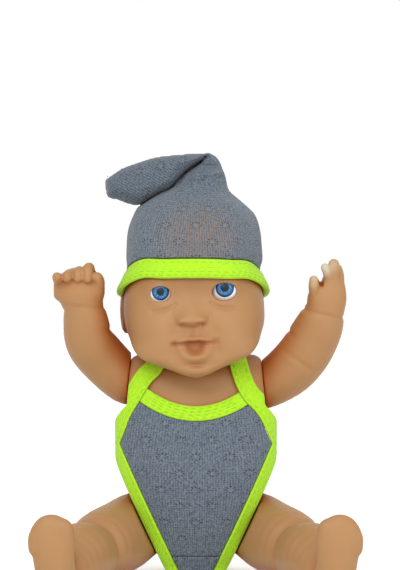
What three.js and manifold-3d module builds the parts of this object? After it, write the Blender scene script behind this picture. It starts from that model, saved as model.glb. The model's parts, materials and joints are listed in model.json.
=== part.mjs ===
// Vinyl baby doll in a knitted stocking cap and bodysuit, sitting with both arms raised.
// Millimetres, +Z up. The doll faces -Y, its left side is +X, and the origin is the middle of its seat.
import * as THREE from 'three';
import { mergeVertices } from 'three/addons/utils/BufferGeometryUtils.js';
import Module from 'manifold-3d';

const wasm = await Module();
wasm.setup();

// Driving dimensions: fits and walls
const turningGap = 0.35;
const piecesGap = 0.3;
const vinylWall = 2.5;
const skinToCloth = 0.4;
const knitThickness = 1.2;
const bindingThickness = 1.7;
const gussetThickness = 1.8;
const armholeBindingWidth = 7.4;
const neckBindingWidth = 6;
const legBindingWidth = 5;

// Driving dimensions: body
const torsoHeight = 89;
const torsoHalfWidth = 30;
const torsoHalfDepth = 15.5;
const shoulderSeatX = 27.8;
const shoulderSeatY = 1;
const shoulderDrop = 8.4;
const shoulderTilt = 5;
const shoulderGrooveRadius = 5.5;
const shoulderSocketRadius = 15;
const hipSeatX = 21;
const hipSeatY = 1;
const hipSeatHeight = 17.8;
const hipTilt = 25;
const hipGrooveRadius = 8;
const neckRecess = 3;
const neckGrooveRadius = 8.6;
const neckRecessRadius = 13;
const headRoll = 2.5;
const flangeOverhang = 1.8;
const flangeThickness = 2;
const frontNecklineDrop = 17.6;
const backNecklineDrop = 10;
const closureWidth = 10;
const closureLength = 42;
const closureThickness = 1;

// Driving dimensions: head, eyes, cap and the two limb sizes
const headHalfWidth = 28.8;
const headFront = 33;
const headBack = 29.5;
const headHeight = 78;
const chinDrop = 5.8;
const neckBore = 5.5;
const eyeSpacing = 26;
const eyeHeight = 29.2;
const eyeRadius = 6.4;
const eyeDepth = 4.8;
const gazeRise = 0.1;
const irisRadius = 3.4;
const irisThickness = 1.1;
const earHeight = 19;
const earLength = 10.4;
const rightEarTuck = 0;
const leftEarTuck = 1.3;
const bandWidth = 8;
const bandThickness = 2;
const bandSideDrop = 1.1;
const bandTilt = 11;
const capGap = 0.6;
const capThickness = 1.5;
const armGirth = 1;
const legGirth = 1;

// Heights that follow from them, and a reach past the whole body for cutting shapes
const torsoBottom = skinToCloth + gussetThickness;
const neckSeatZ = torsoBottom + torsoHeight - neckRecess;
const shoulderSeatZ = neckSeatZ - shoulderDrop;
const hipSeatZ = torsoBottom + hipSeatHeight;
const bandSideHeight = eyeHeight - bandSideDrop;
const reach = 60;

const point = (x, y, z) => new THREE.Vector3(x, y, z);
const radians = THREE.MathUtils.degToRad;

// Closed solids

function asSolid(geometry) {
  const bare = geometry.clone();
  bare.deleteAttribute('normal');
  bare.deleteAttribute('uv');
  const merged = mergeVertices(bare, 1e-5);
  const mesh = new wasm.Mesh({
    numProp: 3,
    vertProperties: new Float32Array(merged.attributes.position.array),
    triVerts: new Uint32Array(merged.index.array),
  });
  return new wasm.Manifold(mesh);
}

function asGeometry(solid) {
  const mesh = solid.getMesh();
  const geometry = new THREE.BufferGeometry();
  geometry.setAttribute('position', new THREE.BufferAttribute(mesh.vertProperties, 3));
  geometry.setIndex(new THREE.BufferAttribute(mesh.triVerts, 1));
  geometry.computeVertexNormals();
  return geometry;
}

// Skin a stack of rings with the same number of points, closed at both ends round a middle point.
function skinRings(rings, firstMiddle, lastMiddle) {
  const sides = rings[0].length;
  const corners = [firstMiddle, ...rings.flat(), lastMiddle];
  const last = corners.length - 1;
  const faces = [];
  for (let side = 0; side < sides; side += 1) {
    const next = (side + 1) % sides;
    faces.push(0, 1 + side, 1 + next);
    faces.push(last, last - sides + next, last - sides + side);
    for (let ring = 0; ring < rings.length - 1; ring += 1) {
      const low = 1 + ring * sides;
      const high = low + sides;
      faces.push(low + side, high + side, low + next);
      faces.push(low + next, high + side, high + next);
    }
  }
  let volume = 0;
  for (let corner = 0; corner < faces.length; corner += 3) {
    const [a, b, c] = [0, 1, 2].map((step) => corners[faces[corner + step]]);
    volume += a.dot(point().crossVectors(b, c));
  }
  if (volume < 0) {
    faces.reverse();
  }
  const geometry = new THREE.BufferGeometry().setFromPoints(corners);
  geometry.setIndex(faces);
  return asSolid(geometry);
}

// Turn a closed profile of [radius, height] pairs about the frame's Z axis.
function turned(profile, frame, segments = 20) {
  const lathe = new THREE.LatheGeometry(profile.map(([r, z]) => new THREE.Vector2(r, z)), segments);
  lathe.rotateX(Math.PI / 2);
  lathe.applyMatrix4(frame);
  return asSolid(lathe);
}

const disc = (radius, low, high, frame, segments) =>
  turned([[0, low], [radius, low], [radius, high], [0, high]], frame, segments);

// A closed front-view outline of [x, z] pairs, pushed through from one depth to another.
function cutFromFront(outline, nearY, farY) {
  const shape = new THREE.Shape(outline.map(([x, z]) => new THREE.Vector2(x, z)));
  const slab = new THREE.ExtrudeGeometry(shape, { depth: farY - nearY, bevelEnabled: false });
  slab.rotateX(Math.PI / 2);
  slab.translate(0, farY, 0);
  return asSolid(slab);
}

function box(low, high) {
  const size = high.map((value, axis) => value - low[axis]);
  const block = new THREE.BoxGeometry(...size);
  block.translate(...low.map((value, axis) => value + size[axis] / 2));
  return asSolid(block);
}

function ellipsoid(centre, radii, turn, columns = 10, rows = 6) {
  const ball = new THREE.SphereGeometry(1, columns, rows);
  ball.scale(...radii);
  ball.rotateY(radians(turn));
  ball.translate(...centre);
  return asSolid(ball);
}

const joinAll = (solids) => solids.reduce((whole, solid) => whole.add(solid));

// A frame whose Z axis runs along the given direction from the given place.
function frameAt(place, direction) {
  const frame = new THREE.Matrix4();
  frame.makeRotationFromQuaternion(
    new THREE.Quaternion().setFromUnitVectors(point(0, 0, 1), direction.clone().normalize()),
  );
  return frame.setPosition(place);
}

// Joint seats: each limb's flange snaps behind the round hole of a flat seat on the body

const shoulderFrame = (side) => frameAt(
  point(side * shoulderSeatX, shoulderSeatY, shoulderSeatZ),
  point(side * Math.cos(radians(shoulderTilt)), 0, Math.sin(radians(shoulderTilt))),
);
const hipFrame = (side) => frameAt(
  point(side * hipSeatX, hipSeatY, hipSeatZ),
  point(side * Math.cos(radians(hipTilt)), 0, -Math.sin(radians(hipTilt))),
);
const neckFrame = frameAt(
  point(0, 0, neckSeatZ),
  point(-Math.sin(radians(headRoll)), 0, Math.cos(radians(headRoll))),
);
const seats = [
  { frame: shoulderFrame(-1), grooveRadius: shoulderGrooveRadius, cutRadius: shoulderSocketRadius },
  { frame: shoulderFrame(1), grooveRadius: shoulderGrooveRadius, cutRadius: shoulderSocketRadius },
  { frame: hipFrame(-1), grooveRadius: hipGrooveRadius, cutRadius: reach },
  { frame: hipFrame(1), grooveRadius: hipGrooveRadius, cutRadius: reach },
  { frame: neckFrame, grooveRadius: neckGrooveRadius, cutRadius: neckRecessRadius },
];

// The plug of a limb or of the neck: flange inside the body, groove in the hole, collar outside.
function plug(grooveRadius, collarRadius, collarTop, frame) {
  const flangeTop = -vinylWall - turningGap;
  const flangeRadius = grooveRadius + flangeOverhang;
  const profile = [
    [0, flangeTop - flangeThickness],
    [flangeRadius - flangeThickness / 2, flangeTop - flangeThickness],
    [flangeRadius, flangeTop - flangeThickness / 2],
    [flangeRadius, flangeTop],
    [grooveRadius, flangeTop],
    [grooveRadius, turningGap],
    [collarRadius, turningGap],
    [collarRadius, collarTop],
    [0, collarTop],
  ];
  return turned(profile, frame);
}

// Body casting. Each row holds the height as a share of the torso's, and its half width, front and back
// as shares of torsoHalfWidth and torsoHalfDepth.
const torsoProfile = [
  [0, 0.43, 0.62, 0.85],
  [0.025, 0.56, 0.84, 1.1],
  [0.09, 0.7, 1.1, 1.36],
  [0.18, 0.82, 1.3, 1.47],
  [0.28, 0.92, 1.45, 1.42],
  [0.39, 0.99, 1.54, 1.26],
  [0.5, 1.04, 1.52, 1.16],
  [0.62, 1.05, 1.38, 1.11],
  [0.74, 1.05, 1.23, 1.08],
  [0.84, 1.03, 1.12, 1.05],
  [0.915, 1.01, 1, 1],
  [0.965, 0.98, 0.72, 0.84],
  [0.99, 0.93, 0.44, 0.62],
  [1, 0.84, 0.22, 0.4],
];
const torsoSquareness = { front: 2.5, back: 2.5 };

function roundedSection(halfWidth, front, back, height, squareness, angles) {
  const middle = (back - front) / 2;
  const halfDepth = (back + front) / 2;
  return angles.map((angle) => {
    const [across, ahead] = [Math.cos(angle), Math.sin(angle)];
    const power = 2 / (ahead > 0 ? squareness.front : squareness.back);
    return point(
      halfWidth * Math.sign(across) * Math.abs(across) ** power,
      middle - halfDepth * Math.sign(ahead) * Math.abs(ahead) ** power,
      height,
    );
  });
}

// Angles round a section, with a count for the front half and another for the back half.
function sectionAngles(frontCount, backCount) {
  const front = Array.from({ length: frontCount }, (_, step) => (Math.PI * step) / frontCount);
  const back = Array.from({ length: backCount }, (_, step) => Math.PI * (1 + step / backCount));
  return [...front, ...back];
}

// The torso's outer form grown outwards by an offset, or shrunk by a negative one.
function torsoForm(offset, columns = 20) {
  const angles = sectionAngles(columns / 2, columns / 2);
  const lastRow = torsoProfile.length - 1;
  const rings = torsoProfile.map(([share, wide, front, back], row) => {
    const lift = row === 0 ? -offset : (row === lastRow ? offset : offset * (2 * share - 1));
    return roundedSection(
      wide * torsoHalfWidth + offset,
      front * torsoHalfDepth + offset,
      back * torsoHalfDepth + offset,
      torsoBottom + share * torsoHeight + lift,
      torsoSquareness,
      angles,
    );
  });
  const topMiddle = point(0, 0, torsoBottom + torsoHeight + offset);
  return skinRings(rings, point(0, 0, torsoBottom - offset), topMiddle);
}

function buildTorso() {
  let shell = torsoForm(0);
  let cavity = torsoForm(-vinylWall, 14);
  for (const { frame, cutRadius, grooveRadius } of seats) {
    const padRadius = grooveRadius + flangeOverhang + vinylWall;
    shell = shell.subtract(disc(cutRadius, 0, reach, frame));
    cavity = cavity.subtract(disc(padRadius, -vinylWall, reach, frame, 16));
  }
  for (const { frame, grooveRadius } of seats) {
    const roomRadius = grooveRadius + flangeOverhang + 2 * turningGap;
    const roomDepth = vinylWall + flangeThickness + 4 * turningGap;
    cavity = cavity.add(disc(roomRadius, -roomDepth, -vinylWall, frame, 16));
  }
  for (const { frame, grooveRadius } of seats) {
    shell = shell.subtract(disc(grooveRadius + turningGap, -3 * vinylWall, vinylWall, frame));
  }
  return shell.subtract(cavity);
}

// Limbs: a round section swept along a bent spine, with folds where the radius dips

// Stations hold [outward, forward, up, half width, half thickness] from the seat. The half thickness is
// measured along the given way, which is never the way the limb runs.
function sweepLimb({ stations, thickWay, origin, side, sides, steps, girth }) {
  const places = stations.map(([out, forward, up]) => point(
    origin.x + side * out,
    origin.y - forward,
    origin.z + up,
  ));
  const spine = new THREE.CatmullRomCurve3(places, false, 'centripetal');
  const widths = new THREE.SplineCurve(stations.map(([, , , wide], at) => new THREE.Vector2(at, wide)));
  const depths = new THREE.SplineCurve(stations.map(([, , , , deep], at) => new THREE.Vector2(at, deep)));
  const rings = [];
  for (let step = 0; step <= steps; step += 1) {
    const share = step / steps;
    const along = spine.getTangent(share);
    const across = thickWay.clone().cross(along).normalize();
    const through = point().crossVectors(along, across);
    const middle = spine.getPoint(share);
    const wide = widths.getPoint(share).y * girth;
    const deep = depths.getPoint(share).y * girth;
    rings.push(Array.from({ length: sides }, (_, corner) => {
      const angle = (2 * Math.PI * corner) / sides;
      return middle.clone()
        .addScaledVector(across, wide * Math.cos(angle))
        .addScaledVector(through, deep * Math.sin(angle));
    }));
  }
  return skinRings(rings, spine.getPoint(0), spine.getPoint(1));
}

// A finger or toe is a short sweep that tapers to a round tip.
function digit({ places, radius }, thickWay, origin, side) {
  const [before, tip] = places.slice(-2);
  const reachOut = (0.75 * radius) / Math.hypot(...tip.map((value, axis) => value - before[axis]));
  const end = tip.map((value, axis) => value + reachOut * (value - before[axis]));
  const stations = [
    ...places.slice(0, -1).map((place) => [...place, radius, radius]),
    [...tip, radius * 0.88, radius * 0.88],
    [...end, radius * 0.42, radius * 0.42],
  ];
  return sweepLimb({ stations, thickWay, origin, side, sides: 6, steps: 5, girth: 1 });
}

function limb({ frame, grooveRadius, collarRadius, digits, ...sweep }) {
  const origin = point().setFromMatrixPosition(frame);
  const { thickWay, side } = sweep;
  const parts = digits.map((piece) => digit(piece, thickWay, origin, side));
  const form = joinAll([sweepLimb({ ...sweep, origin }), ...parts]);
  const root = plug(grooveRadius, collarRadius, turningGap + vinylWall, frame);
  return form.subtract(disc(reach, -reach, turningGap, frame)).add(root);
}

// Right arm: fist, fingers curled forwards over the palm
const fistArm = [
  [-4, 0, 0.2, 9.4, 9.6],
  [1.5, 0, 0.6, 9.8, 10],
  [11, 4, 9.8, 10.3, 10.2],
  [16, 9, 17, 10.1, 9.7],
  [17.5, 12.5, 25.3, 9.2, 8.9],
  [18.3, 15, 32.2, 8, 7.5],
  [19.5, 16, 37.2, 9.8, 7.4],
  [19.2, 16.5, 42, 8.6, 5.4],
  [19.1, 16.6, 43.5, 4.5, 2.5],
];
const fistFingers = [27.4, 23.6, 19.6, 15.7].map((out, finger) => {
  const knuckle = 43.3 + finger * 1.35;
  return {
    radius: 2.3,
    places: [
      [out, 16.5, knuckle - 7],
      [out, 18.2, knuckle - 1.2],
      [out + 0.2, 21.8, knuckle - 0.6],
      [out + 0.5, 23.4, 43.4 - 0.2 * finger],
    ],
  };
});
const fistThumb = {
  radius: 2.6,
  places: [[14, 16, 34], [12.4, 18, 38], [11.9, 20.5, 41.5], [12.4, 22, 43.2]],
};

// Left arm: open hand with the palm turned to the front and the thumb inwards
const openArm = [
  [-4, 0, -2, 9, 9.6],
  [1.5, 0, -1.6, 9.5, 10],
  [10.6, 4, 4.6, 10.7, 10.4],
  [17, 7, 11.9, 10.8, 10.4],
  [21.1, 9.6, 19.2, 10.4, 10],
  [23.4, 12, 24.4, 9.5, 9],
  [25.2, 14, 29.8, 7.9, 7.4],
  [26, 15, 34.6, 8, 6.4],
  [27.1, 15.4, 38.4, 6.7, 5],
  [28.2, 15.6, 41.4, 4.2, 3],
];
const openFingers = [
  { radius: 2.05, places: [[26, 16, 37], [25.5, 17.4, 42], [24.6, 18.9, 45.4], [24, 19.6, 47.2]] },
  { radius: 2.65, places: [[28, 16, 38], [28.4, 16.4, 43.4], [28.6, 17, 46.6], [28.6, 17.3, 48.6]] },
  { radius: 2.2, places: [[30.4, 14.8, 37], [30.9, 14.6, 42], [30.6, 14.8, 45.2], [30.3, 15, 46.8]] },
  { radius: 1.9, places: [[31, 13, 35], [31.4, 12.4, 39.6], [31.2, 12.2, 42], [31, 12.2, 43.4]] },
  { radius: 2.15, places: [[21.6, 16.4, 33], [20.6, 18.8, 36.8], [20.2, 20.6, 40], [20.2, 21.4, 42.2]] },
];

// Legs: thigh, knee fold, calf and foot with the sole to the front
const legStations = [
  [-4, -2, 1.6, 12.6, 12.6],
  [3, 2, 0, 14, 14],
  [10, 14, -3.4, 14.7, 14.7],
  [16, 27, -4.8, 14.1, 14.1],
  [21, 38.5, -6.8, 12.2, 12.2],
  [25, 49.5, -6.6, 12.6, 12.6],
  [28.6, 61, -9, 10.2, 10.2],
  [31, 69, -11.8, 7.6, 7.6],
  [32, 74.5, -12, 7.6, 7.2],
  [32.5, 79, -8.4, 6.8, 7.6],
  [33, 81, -2.2, 5.4, 8],
  [33.6, 81.8, 3.8, 4, 8.6],
  [33.8, 82, 6.8, 2.3, 6.2],
];
const toes = [28.6, 32.6, 35.6, 38.2, 40.3].map((out, toe) => ({
  radius: toe === 0 ? 2.9 : 2.2 - 0.12 * toe,
  places: [[out, 82, 3 - toe * 0.8], [out, 82.4, 6.4 - toe * 0.9], [out, 83, 8.2 - toe]],
}));

// Head casting. Each row holds the height as a share of the head's from the chin up, and its half width,
// front and back as shares of headHalfWidth, headFront and headBack.
const headProfile = [
  [0, 0.02, 0.86, -0.9],
  [0.018, 0.18, 0.945, -0.78],
  [0.044, 0.345, 0.98, -0.68],
  [0.07, 0.53, 0.99, -0.6],
  [0.108, 0.757, 1, -0.48],
  [0.16, 0.872, 1, -0.2],
  [0.215, 0.93, 1, 0.56],
  [0.262, 0.975, 0.998, 0.91],
  [0.31, 0.995, 0.992, 0.968],
  [0.377, 1, 0.975, 0.982],
  [0.467, 0.975, 0.955, 0.99],
  [0.57, 0.87, 0.93, 1],
  [0.672, 0.845, 0.89, 0.975],
  [0.774, 0.808, 0.795, 0.875],
  [0.864, 0.69, 0.636, 0.72],
  [0.928, 0.524, 0.455, 0.535],
  [0.973, 0.32, 0.273, 0.335],
  [1, 0.02, 0.02, 0.02],
];
const headSquareness = { front: 2.8, back: 2.2 };
const knitSquareness = { front: 2.2, back: 2.2 };

// Moulded face. Each stroke pushes the front forwards or back round a place in front view; the heights
// are above the neck seat, and size is how far it spreads each way.
const faceStrokes = [
  { at: [0, 19.4], size: [4.9, 3.7], push: 2.7 },
  { at: [0, 17.6], size: [5.6, 2.2], push: 1.2 },
  { at: [0, 24.6], size: [3.2, 6], push: 0.4 },
  { at: [0, 28], size: [3.5, 4.5], push: -0.7 },
  { at: [0, 10.8], size: [9, 2.2], push: 1.3 },
  { at: [0, 7.2], size: [8.2, 1.8], push: -1.9 },
  { at: [0, 3.6], size: [6.5, 2], push: 1.5 },
  { at: [0, -0.2], size: [6, 1.4], push: -0.7 },
  { at: [0, -3.4], size: [5.6, 3], push: 0.8 },
  ...[-1, 1].flatMap((side) => [
    { at: [side * 10.4, 7.6], size: [2.4, 3], push: -1 },
    { at: [side * 17, 12.5], size: [7.5, 7.5], push: 1.3 },
    { at: [side * (eyeSpacing / 2 + 0.2), eyeHeight], size: [6.6, 4.8], push: -1 },
    { at: [side * (eyeSpacing / 2 - 1), eyeHeight + 3.8], size: [8, 2.5], push: 0.2 },
  ]),
];

function facePush(x, z) {
  let push = 0;
  for (const { at, size, push: depth } of faceStrokes) {
    push += depth * Math.exp(-(((x - at[0]) / size[0]) ** 2) - ((z - at[1]) / size[1]) ** 2);
  }
  return push;
}

function headRows(count) {
  const curves = [1, 2, 3].map((column) => new THREE.SplineCurve(
    headProfile.map((row) => new THREE.Vector2(row[0], row[column])),
  ));
  return Array.from({ length: count }, (_, step) => {
    const [wide, front, back] = curves.map((curve) => curve.getPoint((step + 0.5) / count));
    return [wide.x, wide.y, front.y, back.y];
  });
}

// The head's form in its own frame, with the neck seat at the origin.
function headForm({ offset = 0, rows, frontColumns, backColumns, face = false, above = -reach }) {
  const angles = sectionAngles(frontColumns, backColumns);
  const rings = headRows(rows).map(([share, wide, front, back]) => {
    const height = share * headHeight - chinDrop + offset * (2 * share - 1);
    const ring = roundedSection(
      wide * headHalfWidth + offset,
      front * headFront + offset,
      back * headBack + offset,
      height,
      headSquareness,
      angles,
    );
    if (face) {
      for (const corner of ring) {
        const middle = (back * headBack - front * headFront) / 2;
        const ahead = Math.min(1, Math.max(0, (middle - corner.y) / 6));
        corner.y -= ahead * facePush(corner.x, corner.z);
      }
    }
    return ring;
  }).filter((ring) => ring[0].z > above);
  const chin = point(0, -0.89 * headFront - (face ? facePush(0, -chinDrop) : 0), -chinDrop - offset);
  const start = above > -reach ? point(0, 0, rings[0][0].z) : chin;
  return skinRings(rings, start, point(0, 0, headHeight - chinDrop + offset));
}

// How far forward the plain face lies at a place in front view.
function faceDepthAt(x, z) {
  const rows = headRows(80);
  const share = (z + chinDrop) / headHeight;
  const [, wide, front, back] = rows.find((row) => row[0] >= share);
  const middle = (back * headBack - front * headFront) / 2;
  const halfDepth = (back * headBack + front * headFront) / 2;
  const level = (Math.abs(x) / (wide * headHalfWidth)) ** headSquareness.front;
  return middle - halfDepth * (1 - level) ** (1 / headSquareness.front) - facePush(x, z);
}

const eyePlace = (side) => {
  const x = (side * eyeSpacing) / 2;
  return [x, faceDepthAt(x, eyeHeight) + eyeDepth, eyeHeight];
};

const headFrame = neckFrame;
const onHead = (solid) => asSolid(asGeometry(solid).applyMatrix4(headFrame));
const inHeadFrame = (solid) => asGeometry(solid).applyMatrix4(headFrame);

// An outer ear is a flat oval leaning out from the head, with its hollow facing outwards.
function addEar(head, side) {
  const half = earLength / 2;
  const tuck = side < 0 ? rightEarTuck : leftEarTuck;
  const place = [side * (headHalfWidth - 0.1 * half - tuck), 0.7 * half, earHeight];
  const hollowPlace = [place[0] + side * 0.45 * half, place[1] - 0.1 * half, earHeight + 0.07 * half];
  const lean = side * 8;
  return head
    .add(ellipsoid(place, [0.45 * half, 0.7 * half, half], lean))
    .subtract(ellipsoid(hollowPlace, [0.25 * half, 0.36 * half, 0.6 * half], lean, 8, 6));
}

const neckCollar = 1.9;
const neckRise = 12;
const headCavityFloor = 9;

function buildHead() {
  const eyeSolid = (side, grow, columns, rows) =>
    ellipsoid(eyePlace(side), Array(3).fill(eyeRadius + grow), 0, columns, rows);
  const upright = new THREE.Matrix4();
  let outer = headForm({ rows: 20, frontColumns: 18, backColumns: 8, face: true });
  outer = addEar(addEar(outer, -1), 1);
  outer = outer.add(plug(neckGrooveRadius, neckGrooveRadius + neckCollar, neckRise, upright));
  let cavity = headForm({
    offset: -vinylWall,
    rows: 10,
    frontColumns: 8,
    backColumns: 6,
    above: headCavityFloor,
  });
  for (const side of [-1, 1]) {
    outer = outer.subtract(eyeSolid(side, turningGap, 14, 8));
    cavity = cavity.subtract(eyeSolid(side, turningGap + vinylWall, 10, 6));
  }
  return outer.subtract(cavity).subtract(disc(neckBore, -reach, neckRise + vinylWall, upright, 16));
}

// Eyes: a half-round white with a flat back, and an iris button let into its front
const irisAxis = frameAt(point(0, 0, 0), point(0, -1, gazeRise));
const irisFrame = (side) => new THREE.Matrix4().setPosition(...eyePlace(side)).multiply(irisAxis);
const eyeBall = (side) => ellipsoid(eyePlace(side), Array(3).fill(eyeRadius), 0, 14, 8);

function buildEyeWhite(side) {
  const recessFloor = eyeRadius - irisThickness - piecesGap;
  const recess = disc(irisRadius + piecesGap, recessFloor, 2 * eyeRadius, irisFrame(side), 14);
  const back = box([-reach, eyePlace(side)[1], -reach], [reach, reach, reach]);
  return eyeBall(side).subtract(recess).subtract(back);
}

function buildIris(side) {
  const button = disc(irisRadius, eyeRadius - irisThickness, 2 * eyeRadius, irisFrame(side), 14);
  return eyeBall(side).intersect(button);
}

// Cap: hem band between two planes round the brow, and the knitted dome above it with its folded tail.
// It is worn straight on the tilted head, so its places are upright ones above the neck seat.
const rimFrame = frameAt(
  point(0, 0, neckSeatZ + bandSideHeight),
  point(0, Math.sin(radians(bandTilt)), Math.cos(radians(bandTilt))),
);
const capForm = (offset) => onHead(headForm({ offset, rows: 20, frontColumns: 12, backColumns: 8 }));

function buildBand() {
  const ring = capForm(capGap + bandThickness).subtract(capForm(capGap));
  return ring.intersect(disc(reach, 0, bandWidth, rimFrame, 16));
}

// Slack knit above the crown: [height, left edge, right edge, half depth], leaning to a peak.
const slackRows = [
  [38, -26.4, 26, 25],
  [42, -28.2, 27.6, 29.4],
  [48, -28.3, 27.4, 29.4],
  [54.5, -27.7, 26.7, 27.4],
  [60.4, -25.7, 24.9, 24],
  [64.2, -23.8, 21.6, 20.4],
  [67.5, -19.8, 17.6, 17],
  [69.8, -15.2, 14.8, 14.6],
  [72.2, -10.4, 13.3, 13],
  [77.5, -5.4, 12.1, 11.4],
  [81.6, -0.6, 10.1, 9.4],
  [84.6, 3, 7.9, 6],
];
const slackPeak = [5.6, 86];

// Folded tail from the peak to its blunt end: [x, y, height, half depth, half height].
const tailStations = [
  [8.4, 0, 77, 6.6, 3.4],
  [5.6, 0, 83, 8.4, 3],
  [-2, 0, 82.8, 10, 3.6],
  [-10, 0, 78.9, 11, 6.2],
  [-17, 0, 75.6, 11.4, 7.6],
  [-23.5, 0, 74, 11.4, 7.9],
  [-30, 0.4, 73, 11.2, 6.4],
  [-35.6, 0.8, 72.6, 10.6, 4.4],
  [-37.2, 0.8, 72.5, 8.6, 2.6],
];

function slackKnit() {
  const angles = sectionAngles(12, 12);
  const rings = slackRows.map(([height, left, right, halfDepth]) => {
    const middle = point((left + right) / 2, 0, neckSeatZ);
    return roundedSection((right - left) / 2, halfDepth, halfDepth, height, knitSquareness, angles)
      .map((corner) => corner.add(middle));
  });
  const [peakX, peakZ] = slackPeak;
  return skinRings(rings, point(0, 0, rings[0][0].z), point(peakX, 0, neckSeatZ + peakZ));
}

function foldedTail() {
  const places = tailStations.map(([x, y, z]) => point(x, y, neckSeatZ + z));
  const spine = new THREE.CatmullRomCurve3(places, false, 'centripetal');
  const [depths, heights] = [3, 4].map((column) => new THREE.SplineCurve(
    tailStations.map((row, at) => new THREE.Vector2(at, row[column])),
  ));
  const steps = 12;
  const sides = 12;
  const rings = Array.from({ length: steps + 1 }, (_, step) => {
    const share = step / steps;
    const along = spine.getTangent(share);
    const depthWays = point(0, 1, 0).addScaledVector(along, -along.y).normalize();
    const heightWays = point().crossVectors(depthWays, along);
    return Array.from({ length: sides }, (__, corner) => {
      const angle = (2 * Math.PI * corner) / sides;
      return spine.getPoint(share)
        .addScaledVector(depthWays, depths.getPoint(share).y * Math.cos(angle))
        .addScaledVector(heightWays, heights.getPoint(share).y * Math.sin(angle));
    });
  });
  return skinRings(rings, spine.getPoint(0), spine.getPoint(1));
}

function buildCap() {
  const dome = capForm(capGap + capThickness).add(slackKnit()).add(foldedTail());
  const belowRim = disc(reach * 2, -reach * 3, bandWidth + piecesGap, rimFrame, 16);
  return dome.subtract(belowRim).subtract(capForm(capGap));
}

// Bodysuit: every panel is a slice of one knitted skin over the torso

const torsoSkin = (thickness) =>
  torsoForm(skinToCloth + thickness).subtract(torsoForm(skinToCloth));

// The arm roots and the neck turn outside these seats, so no cloth goes past them.
const armRootRoom = 16.8;
const neckRoom = neckGrooveRadius + neckCollar + 1.6;

function limbRoom(cloth) {
  const armRoom = (side) => disc(armRootRoom, -piecesGap / 2, reach, shoulderFrame(side));
  const roomForNeck = disc(neckRoom, -reach / 4, reach / 4, neckFrame);
  return cloth.subtract(armRoom(-1)).subtract(armRoom(1)).subtract(roomForNeck);
}

// Each shoulder strap's middle line in front view from its shoulder seat, from the armpit up and over. The
// right strap leans further out than the left one.
const rightStrap = [
  [7.2, -24.5], [5, -18.8], [3, -13.4], [1.4, -10.3], [-1.1, -6.2],
  [-3.8, -1.7], [-6.8, 2.8], [-10.6, 6.8], [-11.6, 11], [-11.6, 18],
];
const leftStrap = [
  [7.2, -24.5], [4.8, -18.8], [2, -13], [-1, -8.8], [-4, -5.8],
  [-6.1, -3.1], [-7.7, 0], [-9.1, 3.7], [-10.2, 7.7], [-11.2, 12], [-11.6, 18],
];
const strapLine = (side) => new THREE.SplineCurve((side < 0 ? rightStrap : leftStrap).map(
  ([x, z]) => new THREE.Vector2(shoulderSeatX + x, shoulderSeatZ + z),
));

// One edge of the strap, a distance to the outer side of its middle line.
function strapEdge(side, outward) {
  const line = strapLine(side);
  return Array.from({ length: 15 }, (_, step) => {
    const share = step / 14;
    const middle = line.getPoint(share);
    const along = line.getTangent(share);
    return [side * (middle.x + along.y * outward), middle.y - along.x * outward];
  });
}

function strapBand(side, grow) {
  const half = armholeBindingWidth / 2 + grow;
  return cutFromFront([...strapEdge(side, -half), ...strapEdge(side, half).reverse()], -reach, reach);
}

// Everything from the strap's inner edge outwards, so that a panel can stop at the strap.
function strapAndArm(side) {
  const inner = strapEdge(side, -armholeBindingWidth / 2 - piecesGap);
  const corner = [[side * reach, inner.at(-1)[1]], [side * reach, inner[0][1]]];
  return cutFromFront([...inner, ...corner], -reach, reach);
}

// Both necklines are shallow bowls; the second number of each is how fast it rises towards the straps.
const frontNeckline = (x) => neckSeatZ - frontNecklineDrop + 0.0178 * x ** 2;
const backNeckline = (x) => neckSeatZ - backNecklineDrop + 0.012 * x ** 2;

function underNeckline(neckline, drop, nearY, farY) {
  const places = [-25, -20, -15, -10, -5, 0, 5, 10, 15, 20, 25];
  const edge = places.map((x) => [x, neckline(x) - drop]);
  const side = edge[0][1];
  const outline = [[-reach, -reach], [-reach, side], ...edge, [reach, side], [reach, -reach]];
  return cutFromFront(outline, nearY, farY);
}

const sideSeamY = 1;
const gussetTop = 9;
const legHoleRadius = reach / 2;
const legBindingEdge = -piecesGap - legBindingWidth;
const legOpening = (side) => disc(legHoleRadius, legBindingEdge - piecesGap, reach, hipFrame(side));

function panel(neckline, nearY, farY, leftX, rightX) {
  let cloth = torsoSkin(knitThickness);
  cloth = cloth.intersect(underNeckline(neckline, neckBindingWidth + piecesGap, nearY, farY));
  cloth = cloth.intersect(box([leftX, -reach, gussetTop + piecesGap], [rightX, reach, neckSeatZ]));
  for (const side of [-1, 1]) {
    cloth = cloth.subtract(strapAndArm(side)).subtract(legOpening(side));
  }
  return cloth;
}

function neckBinding(neckline, nearY, farY) {
  let cloth = torsoSkin(bindingThickness).intersect(underNeckline(neckline, 0, nearY, farY));
  cloth = cloth.subtract(underNeckline(neckline, neckBindingWidth, nearY - 1, farY + 1));
  return cloth.subtract(strapAndArm(-1)).subtract(strapAndArm(1));
}

const armholeBinding = (side) => limbRoom(torsoSkin(bindingThickness).intersect(strapBand(side, 0)));

function legBinding(side) {
  const slab = disc(legHoleRadius, legBindingEdge, -piecesGap, hipFrame(side));
  return torsoSkin(bindingThickness).intersect(slab);
}

function buildGusset() {
  const strip = box([-reach, -reach, -reach], [reach, reach, gussetTop]);
  const cloth = torsoSkin(gussetThickness).intersect(strip);
  return cloth.subtract(legOpening(-1)).subtract(legOpening(1));
}

// The back closes under a strip of hook-and-loop tape that lies over the edges of both back panels.
function buildClosure() {
  const inside = skinToCloth + knitThickness + piecesGap;
  const skin = torsoForm(inside + closureThickness).subtract(torsoForm(inside));
  const top = neckSeatZ - backNecklineDrop - neckBindingWidth - 2 * piecesGap;
  return skin.intersect(box([-closureWidth / 2, 0, top - closureLength], [closureWidth / 2, reach, top]));
}

// Finishes

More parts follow.
